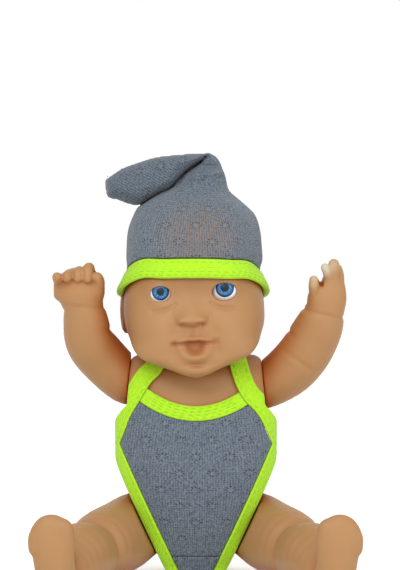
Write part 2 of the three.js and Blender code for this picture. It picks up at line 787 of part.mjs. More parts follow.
const vinyl = { color: 0xc89464, roughness: 0.5, metalness: 0 };
const eyeWhite = { color: 0xe6e3db, roughness: 0.15, metalness: 0 };
const eyeBlue = { color: 0x4a8cc2, roughness: 0.1, metalness: 0 };
const greyKnit = { color: 0x74818e, roughness: 0.9, metalness: 0 };
const brightBinding = { color: 0xbdf830, roughness: 0.85, metalness: 0 };

const doll = new THREE.Group();

function addPiece(name, geometry, finish) {
  const mesh = new THREE.Mesh(geometry, new THREE.MeshStandardMaterial(finish));
  mesh.name = name;
  doll.add(mesh);
}

addPiece('torso_shell', asGeometry(buildTorso()), vinyl);
addPiece('head_shell', inHeadFrame(buildHead()), vinyl);
addPiece('cap_body', asGeometry(buildCap()), greyKnit);
addPiece('cap_band', asGeometry(buildBand()), brightBinding);

for (const [side, sideName] of [[-1, 'right'], [1, 'left']]) {
  addPiece(`${sideName}_eye_white`, inHeadFrame(buildEyeWhite(side)), eyeWhite);
  addPiece(`${sideName}_eye_iris`, inHeadFrame(buildIris(side)), eyeBlue);
  const arm = limb({
    frame: shoulderFrame(side),
    grooveRadius: shoulderGrooveRadius,
    collarRadius: shoulderGrooveRadius + 3,
    stations: side < 0 ? fistArm : openArm,
    thickWay: point(0, 1, 0),
    digits: side < 0 ? [...fistFingers, fistThumb] : openFingers,
    sides: 12,
    steps: 13,
    side,
    girth: armGirth,
  });
  addPiece(`${sideName}_arm`, asGeometry(arm), vinyl);
  const leg = limb({
    frame: hipFrame(side),
    grooveRadius: hipGrooveRadius,
    collarRadius: hipGrooveRadius + 4,
    stations: legStations,
    thickWay: point(1, 0, 0),
    digits: toes,
    sides: 12,
    steps: 17,
    side,
    girth: legGirth,
  });
  addPiece(`${sideName}_leg`, asGeometry(leg), vinyl);
  addPiece(`${sideName}_armhole_binding`, asGeometry(armholeBinding(side)), brightBinding);
  addPiece(`${sideName}_leg_binding`, asGeometry(legBinding(side)), brightBinding);
  const [backLow, backHigh] = side < 0 ? [-reach, -piecesGap / 2] : [piecesGap / 2, reach];
  const backPanel = panel(backNeckline, sideSeamY + piecesGap / 2, reach, backLow, backHigh);
  addPiece(`bodysuit_back_${sideName}`, asGeometry(backPanel), greyKnit);
}

const frontPanel = panel(frontNeckline, -reach, sideSeamY - piecesGap / 2, -reach, reach);
addPiece('bodysuit_front', asGeometry(frontPanel), greyKnit);
addPiece('bodysuit_seat', asGeometry(buildGusset()), greyKnit);
addPiece('back_closure_strip', asGeometry(buildClosure()), greyKnit);
addPiece('neck_binding_front', asGeometry(neckBinding(frontNeckline, -reach, 0)), brightBinding);
addPiece('neck_binding_back', asGeometry(neckBinding(backNeckline, 0, reach)), brightBinding);

export default doll;
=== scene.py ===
import functools
import json
import math
import bpy
import numpy as np
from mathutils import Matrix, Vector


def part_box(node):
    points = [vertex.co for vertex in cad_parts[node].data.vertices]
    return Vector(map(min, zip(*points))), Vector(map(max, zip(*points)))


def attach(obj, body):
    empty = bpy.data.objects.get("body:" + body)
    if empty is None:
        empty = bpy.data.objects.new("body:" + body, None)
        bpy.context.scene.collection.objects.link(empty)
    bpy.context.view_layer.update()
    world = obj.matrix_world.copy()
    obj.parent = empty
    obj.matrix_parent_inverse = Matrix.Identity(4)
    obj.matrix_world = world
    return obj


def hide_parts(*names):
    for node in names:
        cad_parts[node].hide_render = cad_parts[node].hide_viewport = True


# Baby doll: soft vinyl body, head and limbs, glossy eyes, knitted cap and bodysuit.
# Shapes are worked out in millimetres as distance fields, skinned, and handed over in metres.
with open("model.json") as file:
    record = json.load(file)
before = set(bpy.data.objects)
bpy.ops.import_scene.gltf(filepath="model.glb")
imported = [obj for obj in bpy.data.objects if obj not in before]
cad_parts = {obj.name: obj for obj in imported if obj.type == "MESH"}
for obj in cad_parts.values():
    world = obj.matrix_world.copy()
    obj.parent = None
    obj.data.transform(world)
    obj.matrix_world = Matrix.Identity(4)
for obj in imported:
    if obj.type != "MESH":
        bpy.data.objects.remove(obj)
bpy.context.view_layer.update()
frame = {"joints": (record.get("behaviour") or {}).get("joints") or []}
scene = bpy.context.scene
mm = 0.001

joints = {joint["name"]: joint for joint in frame["joints"]}


def jointPlace(name):
    return np.array(joints[name]["pos_m"], float) / mm


def jointAxis(name):
    axis = np.array(joints[name]["axis"], float)
    return axis / np.linalg.norm(axis)


def nodeBox(node):
    low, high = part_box(node)
    return np.array(low) / mm, np.array(high) / mm


neckSeat = jointPlace("neck")
neckUp = jointAxis("neck")
neckAcross = np.array([neckUp[2], 0, -neckUp[0]])
shoulderSeats = {-1: jointPlace("right_shoulder"), 1: jointPlace("left_shoulder")}
shoulderWays = {-1: -jointAxis("right_shoulder"), 1: jointAxis("left_shoulder")}
hipSeats = {-1: jointPlace("right_hip"), 1: jointPlace("left_hip")}
hipWays = {-1: -jointAxis("right_hip"), 1: jointAxis("left_hip")}
sideNames = {-1: "right", 1: "left"}
torsoLow, torsoHigh = nodeBox("torso_shell")


# Fields: negative inside, positive outside, in millimetres

def gridOver(low, high, step):
    axes = [np.arange(a, b + step, step) for a, b in zip(low, high)]
    grid = np.meshgrid(*axes, indexing="ij", sparse=True)
    return {"low": np.array(low, float), "step": step, "at": grid}


def blend(a, b, radius):
    share = np.clip(0.5 + 0.5 * (b - a) / radius, 0, 1)
    return b * (1 - share) + a * share - radius * share * (1 - share)


def cut(a, b, radius):
    return -blend(-a, -b, radius)


def smoothRows(rows, count=240):
    rows = np.array(rows, float)
    last = len(rows) - 1
    along = np.linspace(0, last, count)
    start = np.minimum(along.astype(int), last - 1)
    part = (along - start)[:, None]
    before, a, b, after = (rows[np.clip(start + k, 0, last)] for k in (-1, 0, 1, 2))
    bend = (2 * before - 5 * a + 4 * b - after) * part**2
    turn = (3 * a - before - 3 * b + after) * part**3
    return 0.5 * (2 * a + (b - before) * part + bend + turn)


def sectionLevel(x, y, z, rows, squareness):
    wide = np.maximum(np.interp(z, rows[:, 0], rows[:, 1]), 0.5)
    front = np.interp(z, rows[:, 0], rows[:, 2])
    back = np.interp(z, rows[:, 0], rows[:, 3])
    middle = (back - front) / 2
    half = np.maximum((back + front) / 2, 0.5)
    power = np.where(y < middle, *squareness)
    level = np.abs(x / wide) ** power + np.abs((y - middle) / half) ** power
    return (level ** (1 / power) - 1) * np.minimum(wide, half)


def evenOut(field, step):
    slopes = np.gradient(field, step)
    return field / np.maximum(np.sqrt(sum(s * s for s in slopes)), 0.35)


def ovalField(grid, centre, radii, turn=0.0):
    x, y, z = grid["at"]
    c, s = math.cos(turn), math.sin(turn)
    dx, dy = x - centre[0], y - centre[1]
    u, v, w = (c * dx + s * dy) / radii[0], (c * dy - s * dx) / radii[1], (z - centre[2]) / radii[2]
    return (np.sqrt(u * u + v * v + w * w) - 1) * min(radii)


def planeField(grid, place, way):
    return sum((at - p) * w for at, p, w in zip(grid["at"], place, way))


# Distance to a line in front view. With sides, it is positive on the right of the line's way.
def lineDistance(x, z, line, sides=False):
    best, turn = np.inf, 0
    for a, b in zip(line[:-1], line[1:]):
        way = b - a
        dx, dz = x - a[0], z - a[1]
        share = np.clip((dx * way[0] + dz * way[1]) / (way @ way), 0, 1)
        away = np.hypot(dx - share * way[0], dz - share * way[1])
        turn = np.where(away < best, way[1] * dx - way[0] * dz, turn)
        best = np.minimum(best, away)
    return best * np.sign(turn) if sides else best


# A round limb along a path; flat squeezes it along thickWay where it is under 1.
def tubeField(grid, path, radii, flat=None, thickWay=(0, 1, 0)):
    x, y, z = grid["at"]
    thickWay = np.array(thickWay, float)
    best = None
    for i in range(len(path) - 1):
        a, b = path[i], path[i + 1]
        way = b - a
        length = max(float(way @ way), 1e-9)
        px, py, pz = x - a[0], y - a[1], z - a[2]
        share = np.clip((px * way[0] + py * way[1] + pz * way[2]) / length, 0, 1)
        qx, qy, qz = px - share * way[0], py - share * way[1], pz - share * way[2]
        radius = radii[i] + share * (radii[i + 1] - radii[i])
        away = qx * qx + qy * qy + qz * qz
        if flat is not None:
            squeeze = flat[i] + share * (flat[i + 1] - flat[i])
            axis = np.cross(thickWay, way)
            axis = axis / max(np.linalg.norm(axis), 1e-6)
            wide = qx * axis[0] + qy * axis[1] + qz * axis[2]
            away = wide * wide + (away - wide * wide) / squeeze**2
        field = np.sqrt(away) - radius
        best = field if best is None else np.minimum(best, field)
    return best


def crease(field, grid, place, way, depth, width, toward=None, spread=4.0):
    ridge = np.exp(-((planeField(grid, place, way) / width) ** 2))
    if toward is not None:
        ridge = ridge / (1 + np.exp(-planeField(grid, place, toward) / spread))
    return field + depth * ridge


# Skin of a field: one point in each cell that the surface crosses
def skinOf(field, grid):
    inside = field < 0
    shape = np.array(field.shape) - 1
    corners = [(i, j, k) for i in (0, 1) for j in (0, 1) for k in (0, 1)]
    count = sum(
        inside[i:shape[0] + i, j:shape[1] + j, k:shape[2] + k].astype(np.int8) for i, j, k in corners
    )
    active = (count > 0) & (count < 8)
    cells = np.argwhere(active)
    number = np.full(active.shape, -1, np.int64)
    number[active] = np.arange(len(cells))
    total, hits = np.zeros((len(cells), 3)), np.zeros(len(cells))
    for a in corners:
        for axis in range(3):
            if a[axis]:
                continue
            b = tuple(1 if k == axis else a[k] for k in range(3))
            va = field[tuple((cells + a).T)]
            vb = field[tuple((cells + b).T)]
            crosses = (va < 0) != (vb < 0)
            part = va[crosses] / (va[crosses] - vb[crosses])
            total[crosses] += np.array(a) + part[:, None] * (np.array(b) - np.array(a))
            hits[crosses] += 1
    points = grid["low"] + grid["step"] * (cells + total / hits[:, None])
    faces = []
    for axis in range(3):
        u, v = (axis + 1) % 3, (axis + 2) % 3
        here = [slice(1, -1)] * 3
        here[axis] = slice(0, -1)
        there = list(here)
        there[axis] = slice(1, None)
        first = inside[tuple(here)]
        changed = np.argwhere(first != inside[tuple(there)])
        start = changed + np.array([0 if k == axis else 1 for k in range(3)])
        ring = []
        for du, dv in ((1, 1), (0, 1), (0, 0), (1, 0)):
            cell = start.copy()
            cell[:, u] -= du
            cell[:, v] -= dv
            ring.append(number[tuple(cell.T)])
        ring = np.stack(ring, 1)
        outwards = first[tuple(changed.T)]
        faces.append(np.where(outwards[:, None], ring, ring[:, ::-1]))
    return points, np.concatenate(faces)


def relaxed(points, faces, rounds=2):
    pairs = np.concatenate([faces[:, [k, (k + 1) % 4]] for k in range(4)])
    pairs = np.unique(np.sort(pairs, 1), axis=0)
    ends = np.concatenate([pairs, pairs[:, ::-1]])
    degree = np.bincount(ends[:, 0], minlength=len(points))
    for share in (0.5, -0.51) * rounds:
        mean = np.stack(
            [np.bincount(ends[:, 0], points[ends[:, 1], k], len(points)) / degree for k in range(3)], 1
        )
        points = points + share * (mean - points)
    return points


def addMesh(name, points, faces, body, surface):
    mesh = bpy.data.meshes.new(name)
    mesh.from_pydata((np.asarray(points) * mm).tolist(), [], [list(map(int, f)) for f in faces])
    mesh.validate()
    mesh.polygons.foreach_set("use_smooth", [True] * len(mesh.polygons))
    mesh.materials.append(surface)
    piece = bpy.data.objects.new(name, mesh)
    scene.collection.objects.link(piece)
    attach(piece, body)
    return piece


# Lays the knit out flat in millimetres; wrap closes it where it runs right round
def setKnit(piece, across, along, wrap=None):
    mesh = piece.data
    corners = np.empty(len(mesh.loops), np.int64)
    mesh.loops.foreach_get("vertex_index", corners)
    u, v = across[corners].copy(), along[corners]
    if wrap:
        sizes = np.empty(len(mesh.polygons), np.int64)
        mesh.polygons.foreach_get("loop_total", sizes)
        owner = np.repeat(np.arange(len(sizes)), sizes)
        top = np.full(len(sizes), -np.inf)
        np.maximum.at(top, owner, u)
        u[top[owner] - u > wrap / 2] += wrap
    layer = mesh.uv_layers.new(name="knit")
    layer.data.foreach_set("uv", np.stack([u, v], 1).ravel())


# Says how large a cloth piece is when flat: width and length, then its area where it isn't a plain strip
def declareCloth(piece, corners, flat):
    one, two = corners[:, 2] - corners[:, 0], corners[:, 3] - corners[:, 1]
    area = 0.25 * np.linalg.norm(np.cross(one, two), axis=1).sum()
    print(f"{piece.name}: {area:.0f} mm2 of cloth, cut {flat[0]} by {flat[1]} mm")


# Materials

# sRGB hex to the linear colour that a socket takes
def linear(hexColour):
    parts = [int(hexColour[i:i + 2], 16) / 255 for i in (1, 3, 5)]
    return [c / 12.92 if c <= 0.04045 else ((c + 0.055) / 1.055) ** 2.4 for c in parts] + [1]


# Links what comes from another node and sets the rest; a plain tuple fills the sockets in order
def setInputs(tree, node, inputs):
    for socket, value in inputs.items() if isinstance(inputs, dict) else enumerate(inputs):
        if isinstance(value, bpy.types.NodeSocket):
            tree.links.new(value, node.inputs[socket])
        else:
            node.inputs[socket].default_value = value


# Adds a node with its settings and links, and hands back one of its outputs.
# A Mix node of colours has its share at socket 0, its colours at 6 and 7, and the result at 2.
def addNode(tree, kind, inputs=(), output=0, **settings):
    node = tree.nodes.new("ShaderNode" + kind)
    for name, value in settings.items():
        setattr(node, name, value)
    setInputs(tree, node, inputs)
    return node.outputs[output]


def newMaterial(name):
    made = bpy.data.materials.new(name)
    made.use_nodes = True
    return made, functools.partial(addNode, made.node_tree)


def finishMaterial(made, inputs):
    setInputs(made.node_tree, made.node_tree.nodes["Principled BSDF"], inputs)
    return made


# One at a place in millimetres, falling off smoothly to nothing round it
def around(add, place, at, size):
    offset = add("VectorMath", (place, [c * mm for c in at]), operation="SUBTRACT")
    scaled = add("VectorMath", (offset, [1 / (c * mm) for c in size]), operation="MULTIPLY")
    far = add("VectorMath", (scaled,), "Value", operation="LENGTH")
    cubed = add("Math", (far, 3.0), operation="POWER")
    falling = add("Math", (cubed, -1.0), operation="MULTIPLY")
    return add("Math", (falling,), operation="EXPONENT")


vinylLook = {
    "lit": "#b48759",
    "mottle": "#a87a4a",
    "mottleSize": 9,
    "mottleShare": 0.35,
    "grainSize": 0.5,
    "grainDepth": 0.08,
    "scatterSize": 3.0,
}


# Soft vinyl, rotocast: a warm tan with a satin skin, cloudy at arm's length, that lets a little light into
# its thin wall. Its folds and the gaps between parts get painted shade, a deeper orange, laid on by how
# closed in each place is. The skin's grain is finer than this, and is drawn at half a millimetre so that it
# softens the highlights.
def vinyl(name, spots=(), reach=11, paintedShade="#9a4a14"):
    look = vinylLook
    made, add = newMaterial(name)
    place = add("TexCoord", output="Object")
    patches = add("TexNoise", {"Vector": place, "Scale": 1 / (look["mottleSize"] * mm)}, "Fac")
    cloudy = add("Math", (patches, look["mottleShare"]), operation="MULTIPLY")
    # Painted shade: the colour goes towards the deeper orange where the skin is closed in, in folds and
    # between parts
    folds = add("AmbientOcclusion", {"Distance": reach * mm}, "AO", samples=8)
    darkening = {"Value": folds, "From Min": 0.25, "From Max": 0.95, "To Min": 1.0, "To Max": 0.0}
    shade = add("MapRange", darkening)
    layers = [(cloudy, look["mottle"]), (shade, paintedShade)]
    for spot in spots:
        near = around(add, place, spot["at"], spot["size"])
        layers.append((add("Math", (near, spot["share"]), operation="MULTIPLY"), spot["colour"]))
    colour = linear(look["lit"])
    for share, over in layers:
        colour = add("Mix", {0: share, 6: colour, 7: linear(over)}, 2, data_type="RGBA")
    grain = add("TexNoise", {"Vector": place, "Scale": 1 / (look["grainSize"] * mm), "Detail": 4}, "Fac")
    skinBump = {"Height": grain, "Strength": 0.12, "Distance": look["grainDepth"] * mm}
    return finishMaterial(made, {
        "Base Color": colour,
        "Normal": add("Bump", skinBump, "Normal"),
        "Roughness": 0.5,
        "Specular IOR Level": 0.35,
        "Subsurface Weight": 0.2,
        "Subsurface Radius": (1.0, 0.45, 0.2),
        "Subsurface Scale": look["scatterSize"] * mm,
    })


knitLook = {
    "light": "#7f8994",
    "dark": "#43505d",
    "warm": "#8c7766",
    "raisedHighlight": "#87929c",
    "holeShade": "#2f3942",
    "crease": "#1d242c",
    "wale": 1.0,
    "course": 0.8,
    "sway": 6,
    "fleck": 0.7,
    "motifAcross": 12.7,
    "motifUp": 13.4,
    "flowerWide": 1.75,
    "flowerTall": 1.2,
    "petals": 8,
}


# Cotton jersey, pointelle knitted: matt slate grey with fine ribs, fuzzy light flecks, and small flowers
# of eyelet holes in a half-drop layout. Real wales are about 0.5 mm apart, and are drawn at 1 mm so that
# they show. Where the knit is stretched over the forehead, the tan vinyl shows through it.
def knit(name, warmPlace=None):
    look = knitLook
    made, add = newMaterial(name)
    place = add("TexCoord", output="Object")
    u, v, _ = add("SeparateXYZ", (add("UVMap", uv_map="knit"),)).node.outputs
    sway = add("TexNoise", {"Vector": place, "Scale": 1 / (look["sway"] * mm)}, "Fac")
    swayed = add("Math", (sway, 0.6, u), operation="MULTIPLY_ADD")
    acrossTurns = add("Math", (swayed, 2 * math.pi / look["wale"]), operation="MULTIPLY")
    ribs = add("Math", (acrossTurns,), operation="SINE")
    upTurns = add("Math", (v, 2 * math.pi / look["course"]), operation="MULTIPLY")
    rows = add("Math", (upTurns,), operation="SINE")
    crossed = add("Math", (rows, 0.5, ribs), operation="MULTIPLY_ADD")
    loops = add("Math", (crossed, 0.5), operation="MULTIPLY")
    # each flower's own place across and up, one at its edge
    rowHeight = look["motifUp"] / 2
    upCell = add("Math", (v, rowHeight), operation="DIVIDE")
    rowNumber = add("Math", (upCell,), operation="FLOOR")
    oddRow = add("Math", (rowNumber, 2), operation="MODULO")
    straight = add("Math", (u, look["motifAcross"]), operation="DIVIDE")
    acrossCell = add("Math", (oddRow, 0.5, straight), operation="MULTIPLY_ADD")
    spots = []
    sizes = (look["motifAcross"] / look["flowerWide"], rowHeight / look["flowerTall"])
    for cell, size in zip((acrossCell, upCell), sizes):
        share = add("Math", (cell,), operation="FRACT")
        spots.append(add("Math", (share, size, -0.5 * size), operation="MULTIPLY_ADD"))
    wide, tall = spots
    wideSquared = add("Math", (wide, wide), operation="MULTIPLY")
    awaySquared = add("Math", (tall, tall, wideSquared), operation="MULTIPLY_ADD")
    away = add("Math", (awaySquared,), operation="SQRT")
    off = add("Math", (away, 1.0), operation="SUBTRACT")
    offSquared = add("Math", (off, off), operation="MULTIPLY")
    thinRing = add("Math", (offSquared, -12.0), operation="MULTIPLY")
    ring = add("Math", (thinRing,), operation="EXPONENT")
    turn = add("Math", (tall, wide), operation="ARCTAN2")
    petalTurns = add("Math", (turn, look["petals"]), operation="MULTIPLY")
    petals = add("Math", (petalTurns,), operation="COSINE")
    openPetals = add("Math", (petals, 0.0), operation="MAXIMUM")
    holes = add("Math", (ring, openPetals), operation="MULTIPLY", use_clamp=True)
    # Painted shade seen into the eyelet holes, deeper towards each hole's top edge
    holeShadeUpwards = {"Value": tall, "From Min": -0.6, "From Max": 0.3, "To Min": 0.5, "To Max": 1.0}
    lower = add("MapRange", holeShadeUpwards)
    thinBoss = add("Math", (awaySquared, -2.2), operation="MULTIPLY")
    boss = add("Math", (thinBoss,), operation="EXPONENT")
    flecks = add("TexNoise", {"Vector": place, "Scale": 1 / (look["fleck"] * mm), "Detail": 3}, "Fac")
    grain = add("Math", (flecks, 2.2, -0.6), operation="MULTIPLY_ADD")
    layers = [(add("Math", (loops, 0.3, grain), operation="MULTIPLY_ADD", use_clamp=True), "light")]
    if warmPlace:
        fuzz = add("Math", (flecks, 0.85), operation="MULTIPLY")
        showing = add("Math", (ribs, 0.3, fuzz), operation="MULTIPLY_ADD")
        spread = around(add, place, warmPlace["at"], warmPlace["size"])
        layers.append((add("Math", (spread, showing), operation="MULTIPLY", use_clamp=True), "warm"))
    layers += [
        # Painted highlight on the middle of each flower, lighter as if raised
        (add("Math", (boss, 0.3), operation="MULTIPLY"), "raisedHighlight"),
        # Painted shade in the eyelet holes
        (add("Math", (holes, lower), operation="MULTIPLY"), "holeShade"),
        # Painted shade along the cap's fold and over its tail, from the "fold" attribute
        (add("Attribute", output="Fac", attribute_name="fold"), "crease"),
    ]
    colour = linear(look["dark"])
    for share, over in layers:
        colour = add("Mix", {0: share, 6: colour, 7: linear(look[over])}, 2, data_type="RGBA")
    sunk = add("Math", (holes, -2.0), operation="MULTIPLY")
    height = add("Math", (loops, 0.5, sunk), operation="MULTIPLY_ADD")
    return finishMaterial(made, {
        "Base Color": colour,
        "Normal": add("Bump", {"Height": height, "Strength": 0.7, "Distance": 0.35 * mm}, "Normal"),
        "Roughness": 0.92,
        "Specular IOR Level": 0.15,
        "Sheen Weight": 0.25,
        "Sheen Roughness": 0.5,
    })


bindingLook = {"light": "#bcf030", "dark": "#93d012", "glow": 0.08, "rib": 0.75, "sway": 3, "fleck": 1.1}


# Cotton binding, knitted and dyed fluorescent: a bright yellow green that seems to glow, with lengthwise
# ribs a shade darker between them. Real ribs are about 0.4 mm apart, and are drawn at 0.75 mm.
def binding(name):
    look = bindingLook
    made, add = newMaterial(name)
    place = add("TexCoord", output="Object")
    across = add("SeparateXYZ", (add("UVMap", uv_map="knit"),))
    sway = add("TexNoise", {"Vector": place, "Scale": 1 / (look["sway"] * mm)}, "Fac")
    swayed = add("Math", (sway, 0.5, across), operation="MULTIPLY_ADD")
    turns = add("Math", (swayed, 2 * math.pi / look["rib"]), operation="MULTIPLY")
    ribs = add("Math", (turns,), operation="SINE")
    flecks = add("TexNoise", {"Vector": place, "Scale": 1 / (look["fleck"] * mm), "Detail": 3}, "Fac")
    fuzz = add("Math", (flecks, 1.1), operation="MULTIPLY")
    tone = add("Math", (ribs, 0.2, fuzz), operation="MULTIPLY_ADD", use_clamp=True)
    shades = {0: tone, 6: linear(look["dark"]), 7: linear(look["light"])}
    colour = add("Mix", shades, 2, data_type="RGBA")
    return finishMaterial(made, {
        "Base Color": colour,
        "Emission Color": colour,
        "Emission Strength": look["glow"],
        "Normal": add("Bump", {"Height": ribs, "Strength": 0.35, "Distance": 0.15 * mm}, "Normal"),
        "Roughness": 0.8,
        "Specular IOR Level": 0.2,
        "Sheen Weight": 0.15,
    })


# Small pieces whose colour only drifts between two shades: the size of the drift in millimetres, how deep
# it dents the surface where it does, and the shader's own settings
plainLooks = {
    # Polyester thread, spun: the binding's own colour a shade deeper, so that each stitch reads
    "thread": {"shades": ("#a4e01e", "#8ccb16"), "size": 0.4, "shader": {"Roughness": 0.6}},
    # Hook-and-loop tape, woven: a dense grey pile of tiny loops, drawn at about their real size
    "tape": {
        "shades": ("#56626d", "#8b959e"), "size": 0.45, "detail": 4, "pile": 0.4,
        "shader": {"Roughness": 0.95, "Sheen Weight": 0.3},
    },
    # Acrylic, moulded: a bright white with the faintest warm shade, under a hard gloss
    "eyeball": {
        "shades": ("#f8fafa", "#eef0f0"), "size": 3,
        "shader": {"Roughness": 0.12, "Coat Weight": 0.5},
    },
}


def plainMaterial(name, kind):
    look = plainLooks[kind]
    made, add = newMaterial(name)
    place = add("TexCoord", output="Object")
    drift = {"Vector": place, "Scale": 1 / (look["size"] * mm), "Detail": look.get("detail", 2)}
    share = add("TexNoise", drift, "Fac")
    one, other = (linear(shade) for shade in look["shades"])
    inputs = dict(look["shader"])
    inputs["Base Color"] = add("Mix", {0: share, 6: one, 7: other}, 2, data_type="RGBA")
    if "pile" in look:
        dents = {"Height": share, "Strength": 0.9, "Distance": look["pile"] * mm}
        inputs["Normal"] = add("Bump", dents, "Normal")
    return finishMaterial(made, inputs)


irisLook = {
    "fibres": 46,
    "pale": "#7dbce8",
    "blue": "#1f5c98",
    "rim": "#12304c",
    "pupil": "#1f2c2e",
    "rimFrom": (0.68, 0.98),
    "pupilTo": (0.42, 0.52),
}


# Acrylic button, printed: pale fibres that run out from a soft black pupil to a dark rim, under a
# clear gloss
def iris(name, centre, radius):
    look = irisLook
    made, add = newMaterial(name)
    place = add("TexCoord", output="Object")
    offset = add("VectorMath", (place, [c * mm for c in centre]), operation="SUBTRACT")
    parts = add("SeparateXYZ", (offset,)).node.outputs
    x, z = (add("Math", (parts[way], radius * mm), operation="DIVIDE") for way in ("X", "Z"))
    xSquared = add("Math", (x, x), operation="MULTIPLY")
    awaySquared = add("Math", (z, z, xSquared), operation="MULTIPLY_ADD")
    away = add("Math", (awaySquared,), operation="SQRT")
    turn = add("Math", (z, x), operation="ARCTAN2")
    sway = add("TexNoise", {"Vector": place, "Scale": 1 / (0.8 * mm), "Detail": 3}, "Fac")
    jitter = add("Math", (sway, 5.0), operation="MULTIPLY")
    turns = add("Math", (turn, look["fibres"] / 2, jitter), operation="MULTIPLY_ADD")
    fibre = add("Math", (turns,), operation="SINE")
    ink = add("TexNoise", {"Vector": place, "Scale": 1 / (0.45 * mm), "Detail": 4}, "Fac")
    specks = add("Math", (ink, 3.2, -1.4), operation="MULTIPLY_ADD")
    streaks = add("Math", (fibre, 0.25, specks), operation="MULTIPLY_ADD", use_clamp=True)
    start, end = look["rimFrom"]
    rim = add("MapRange", {"Value": away, "From Min": start, "From Max": end})
    start, end = look["pupilTo"]
    fading = {"Value": away, "From Min": start, "From Max": end, "To Min": 1.0, "To Max": 0.0}
    inner = add("MapRange", fading)
    colour = linear(look["blue"])
    for share, over in ((streaks, "pale"), (rim, "rim"), (inner, "pupil")):
        colour = add("Mix", {0: share, 6: colour, 7: linear(look[over])}, 2, data_type="RGBA")
    return finishMaterial(made, {"Base Color": colour, "Roughness": 0.3, "Specular IOR Level": 0.15})


# Torso

torsoShape = {
    "halfWidth": 30,
    "halfDepth": 15.5,
    "squareness": (2.5, 2.5),
    "rows": [
        [0, 0.43, 0.62, 0.85], [0.025, 0.56, 0.84, 1.1], [0.09, 0.7, 1.1, 1.36],
        [0.18, 0.82, 1.3, 1.47], [0.28, 0.92, 1.45, 1.42], [0.39, 0.99, 1.54, 1.26],
        [0.5, 1.04, 1.52, 1.16], [0.62, 1.05, 1.38, 1.11], [0.74, 1.05, 1.23, 1.08],
        [0.84, 1.03, 1.12, 1.05], [0.915, 1.01, 1, 1], [0.965, 0.98, 0.72, 0.84],
        [0.99, 0.93, 0.44, 0.62], [1, 0.84, 0.22, 0.4],
    ],
    "endRound": 1.6,
    "socketRound": 0.2,
    "hipRound": 0.8,
    "dishRound": 1.0,
    "neckRecess": 13,
    "shoulderSocket": 15,
    "shoulderCorner": (22.8, 85.4),
    "shoulderRound": 5.6,
    "step": 0.6,
}
torsoHeight = torsoHigh[2] - torsoLow[2]
torsoRows = smoothRows([
    [
        torsoLow[2] + share * torsoHeight,
        wide * torsoShape["halfWidth"],
        front * torsoShape["halfDepth"],
        back * torsoShape["halfDepth"],
    ]
    for share, wide, front, back in torsoShape["rows"]
])


def torsoField(grid):
    x, y, z = grid["at"]
    sides = evenOut(sectionLevel(x, y, z, torsoRows, torsoShape["squareness"]), grid["step"])
    return cut(sides, np.maximum(z - torsoHigh[2], torsoLow[2] - z) + 0 * sides, torsoShape["endRound"])


# Distance out from a shoulder's seat, and from the axis that its arm turns on
def aroundShoulder(grid, side):
    lift = planeField(grid, shoulderSeats[side], shoulderWays[side])
    spread = sum((at - p) ** 2 for at, p in zip(grid["at"], shoulderSeats[side]))
    return lift, np.sqrt(np.maximum(spread - lift**2, 0))


def makeTorso():
    grid = gridOver(torsoLow - 3, torsoHigh + 3, torsoShape["step"])
    field = torsoField(grid)
    x, y, z = grid["at"]
    for side in (-1, 1):
        lift, away = aroundShoulder(grid, side)
        socket = np.maximum(-lift, away - torsoShape["shoulderSocket"])
        field = cut(field, -socket, torsoShape["socketRound"])
        field = cut(field, planeField(grid, hipSeats[side], hipWays[side]), torsoShape["hipRound"])
    place, reach = torsoShape["shoulderCorner"], torsoShape["shoulderRound"]
    corner = np.hypot(np.maximum(np.abs(x) - place[0], 0), np.maximum(z - place[1], 0)) - reach
    field = np.maximum(field, corner + 0 * y)
    dish = np.maximum(np.sqrt(x * x + y * y) - torsoShape["neckRecess"], neckSeat[2] - z)
    field = cut(field, -dish, torsoShape["dishRound"])
    points, faces = skinOf(field, grid)
    piece = addMesh("torso", relaxed(points, faces), faces, "body", bodySkin)
    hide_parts("torso_shell")


# Head, in its own frame: x across, y back, z up from the neck seat

headShape = {
    "halfWidth": 28.8,
    "front": 33,
    "back": 29.5,
    "height": 78,
    "chinDrop": 5.8,
    "squareness": (2.8, 2.2),
    "rows": [
        [0, 0.02, 0.86, -0.9], [0.018, 0.18, 0.945, -0.78], [0.044, 0.345, 0.98, -0.68],
        [0.07, 0.53, 0.99, -0.6], [0.108, 0.757, 1, -0.48], [0.16, 0.872, 1, -0.2],
        [0.215, 0.93, 1, 0.56], [0.262, 0.975, 0.998, 0.91], [0.31, 0.995, 0.992, 0.968],
        [0.377, 1, 0.975, 0.982], [0.467, 0.975, 0.955, 0.99], [0.57, 0.87, 0.93, 1],
        [0.672, 0.845, 0.89, 0.975], [0.774, 0.808, 0.795, 0.875], [0.864, 0.69, 0.636, 0.72],
        [0.928, 0.524, 0.455, 0.535], [0.973, 0.32, 0.273, 0.335], [1, 0.02, 0.02, 0.02],
    ],
    "step": 0.4,
    "neckCollar": 10.5,
    "neckTop": 12,
    "neckBlend": 1.5,
    "turningGap": 0.35,
    "leftCheek": 0.025,
    "ear": {
        "stand": {-1: 28.3, 1: 27.0},
        "place": (2.6, 21.6),
        "radii": (3.0, 4.2, 8.8),
        "hollowOut": 2.6,
        "hollowPlace": (1.2, 22),
        "hollowRadii": (1.6, 2.6, 6),
        "lean": 0.09,
    },
}
eyeShape = {
    "radius": 6.4,
    "gaze": {-1: 0.07, 1: 0.15},
    "irisRadius": {-1: 3.45, 1: 3.7},
    "lid": 0.8,
    "lidBlend": 2.2,
    "lidEdge": 0.35,
    "gap": 0.1,
    "irisSwell": 0.35,
    "irisProud": 0.06,
    "opening": {-1: (4.2, 3.1, -0.1, 0.5), 1: (5.05, 3.55, -0.2, 0.65)},
}


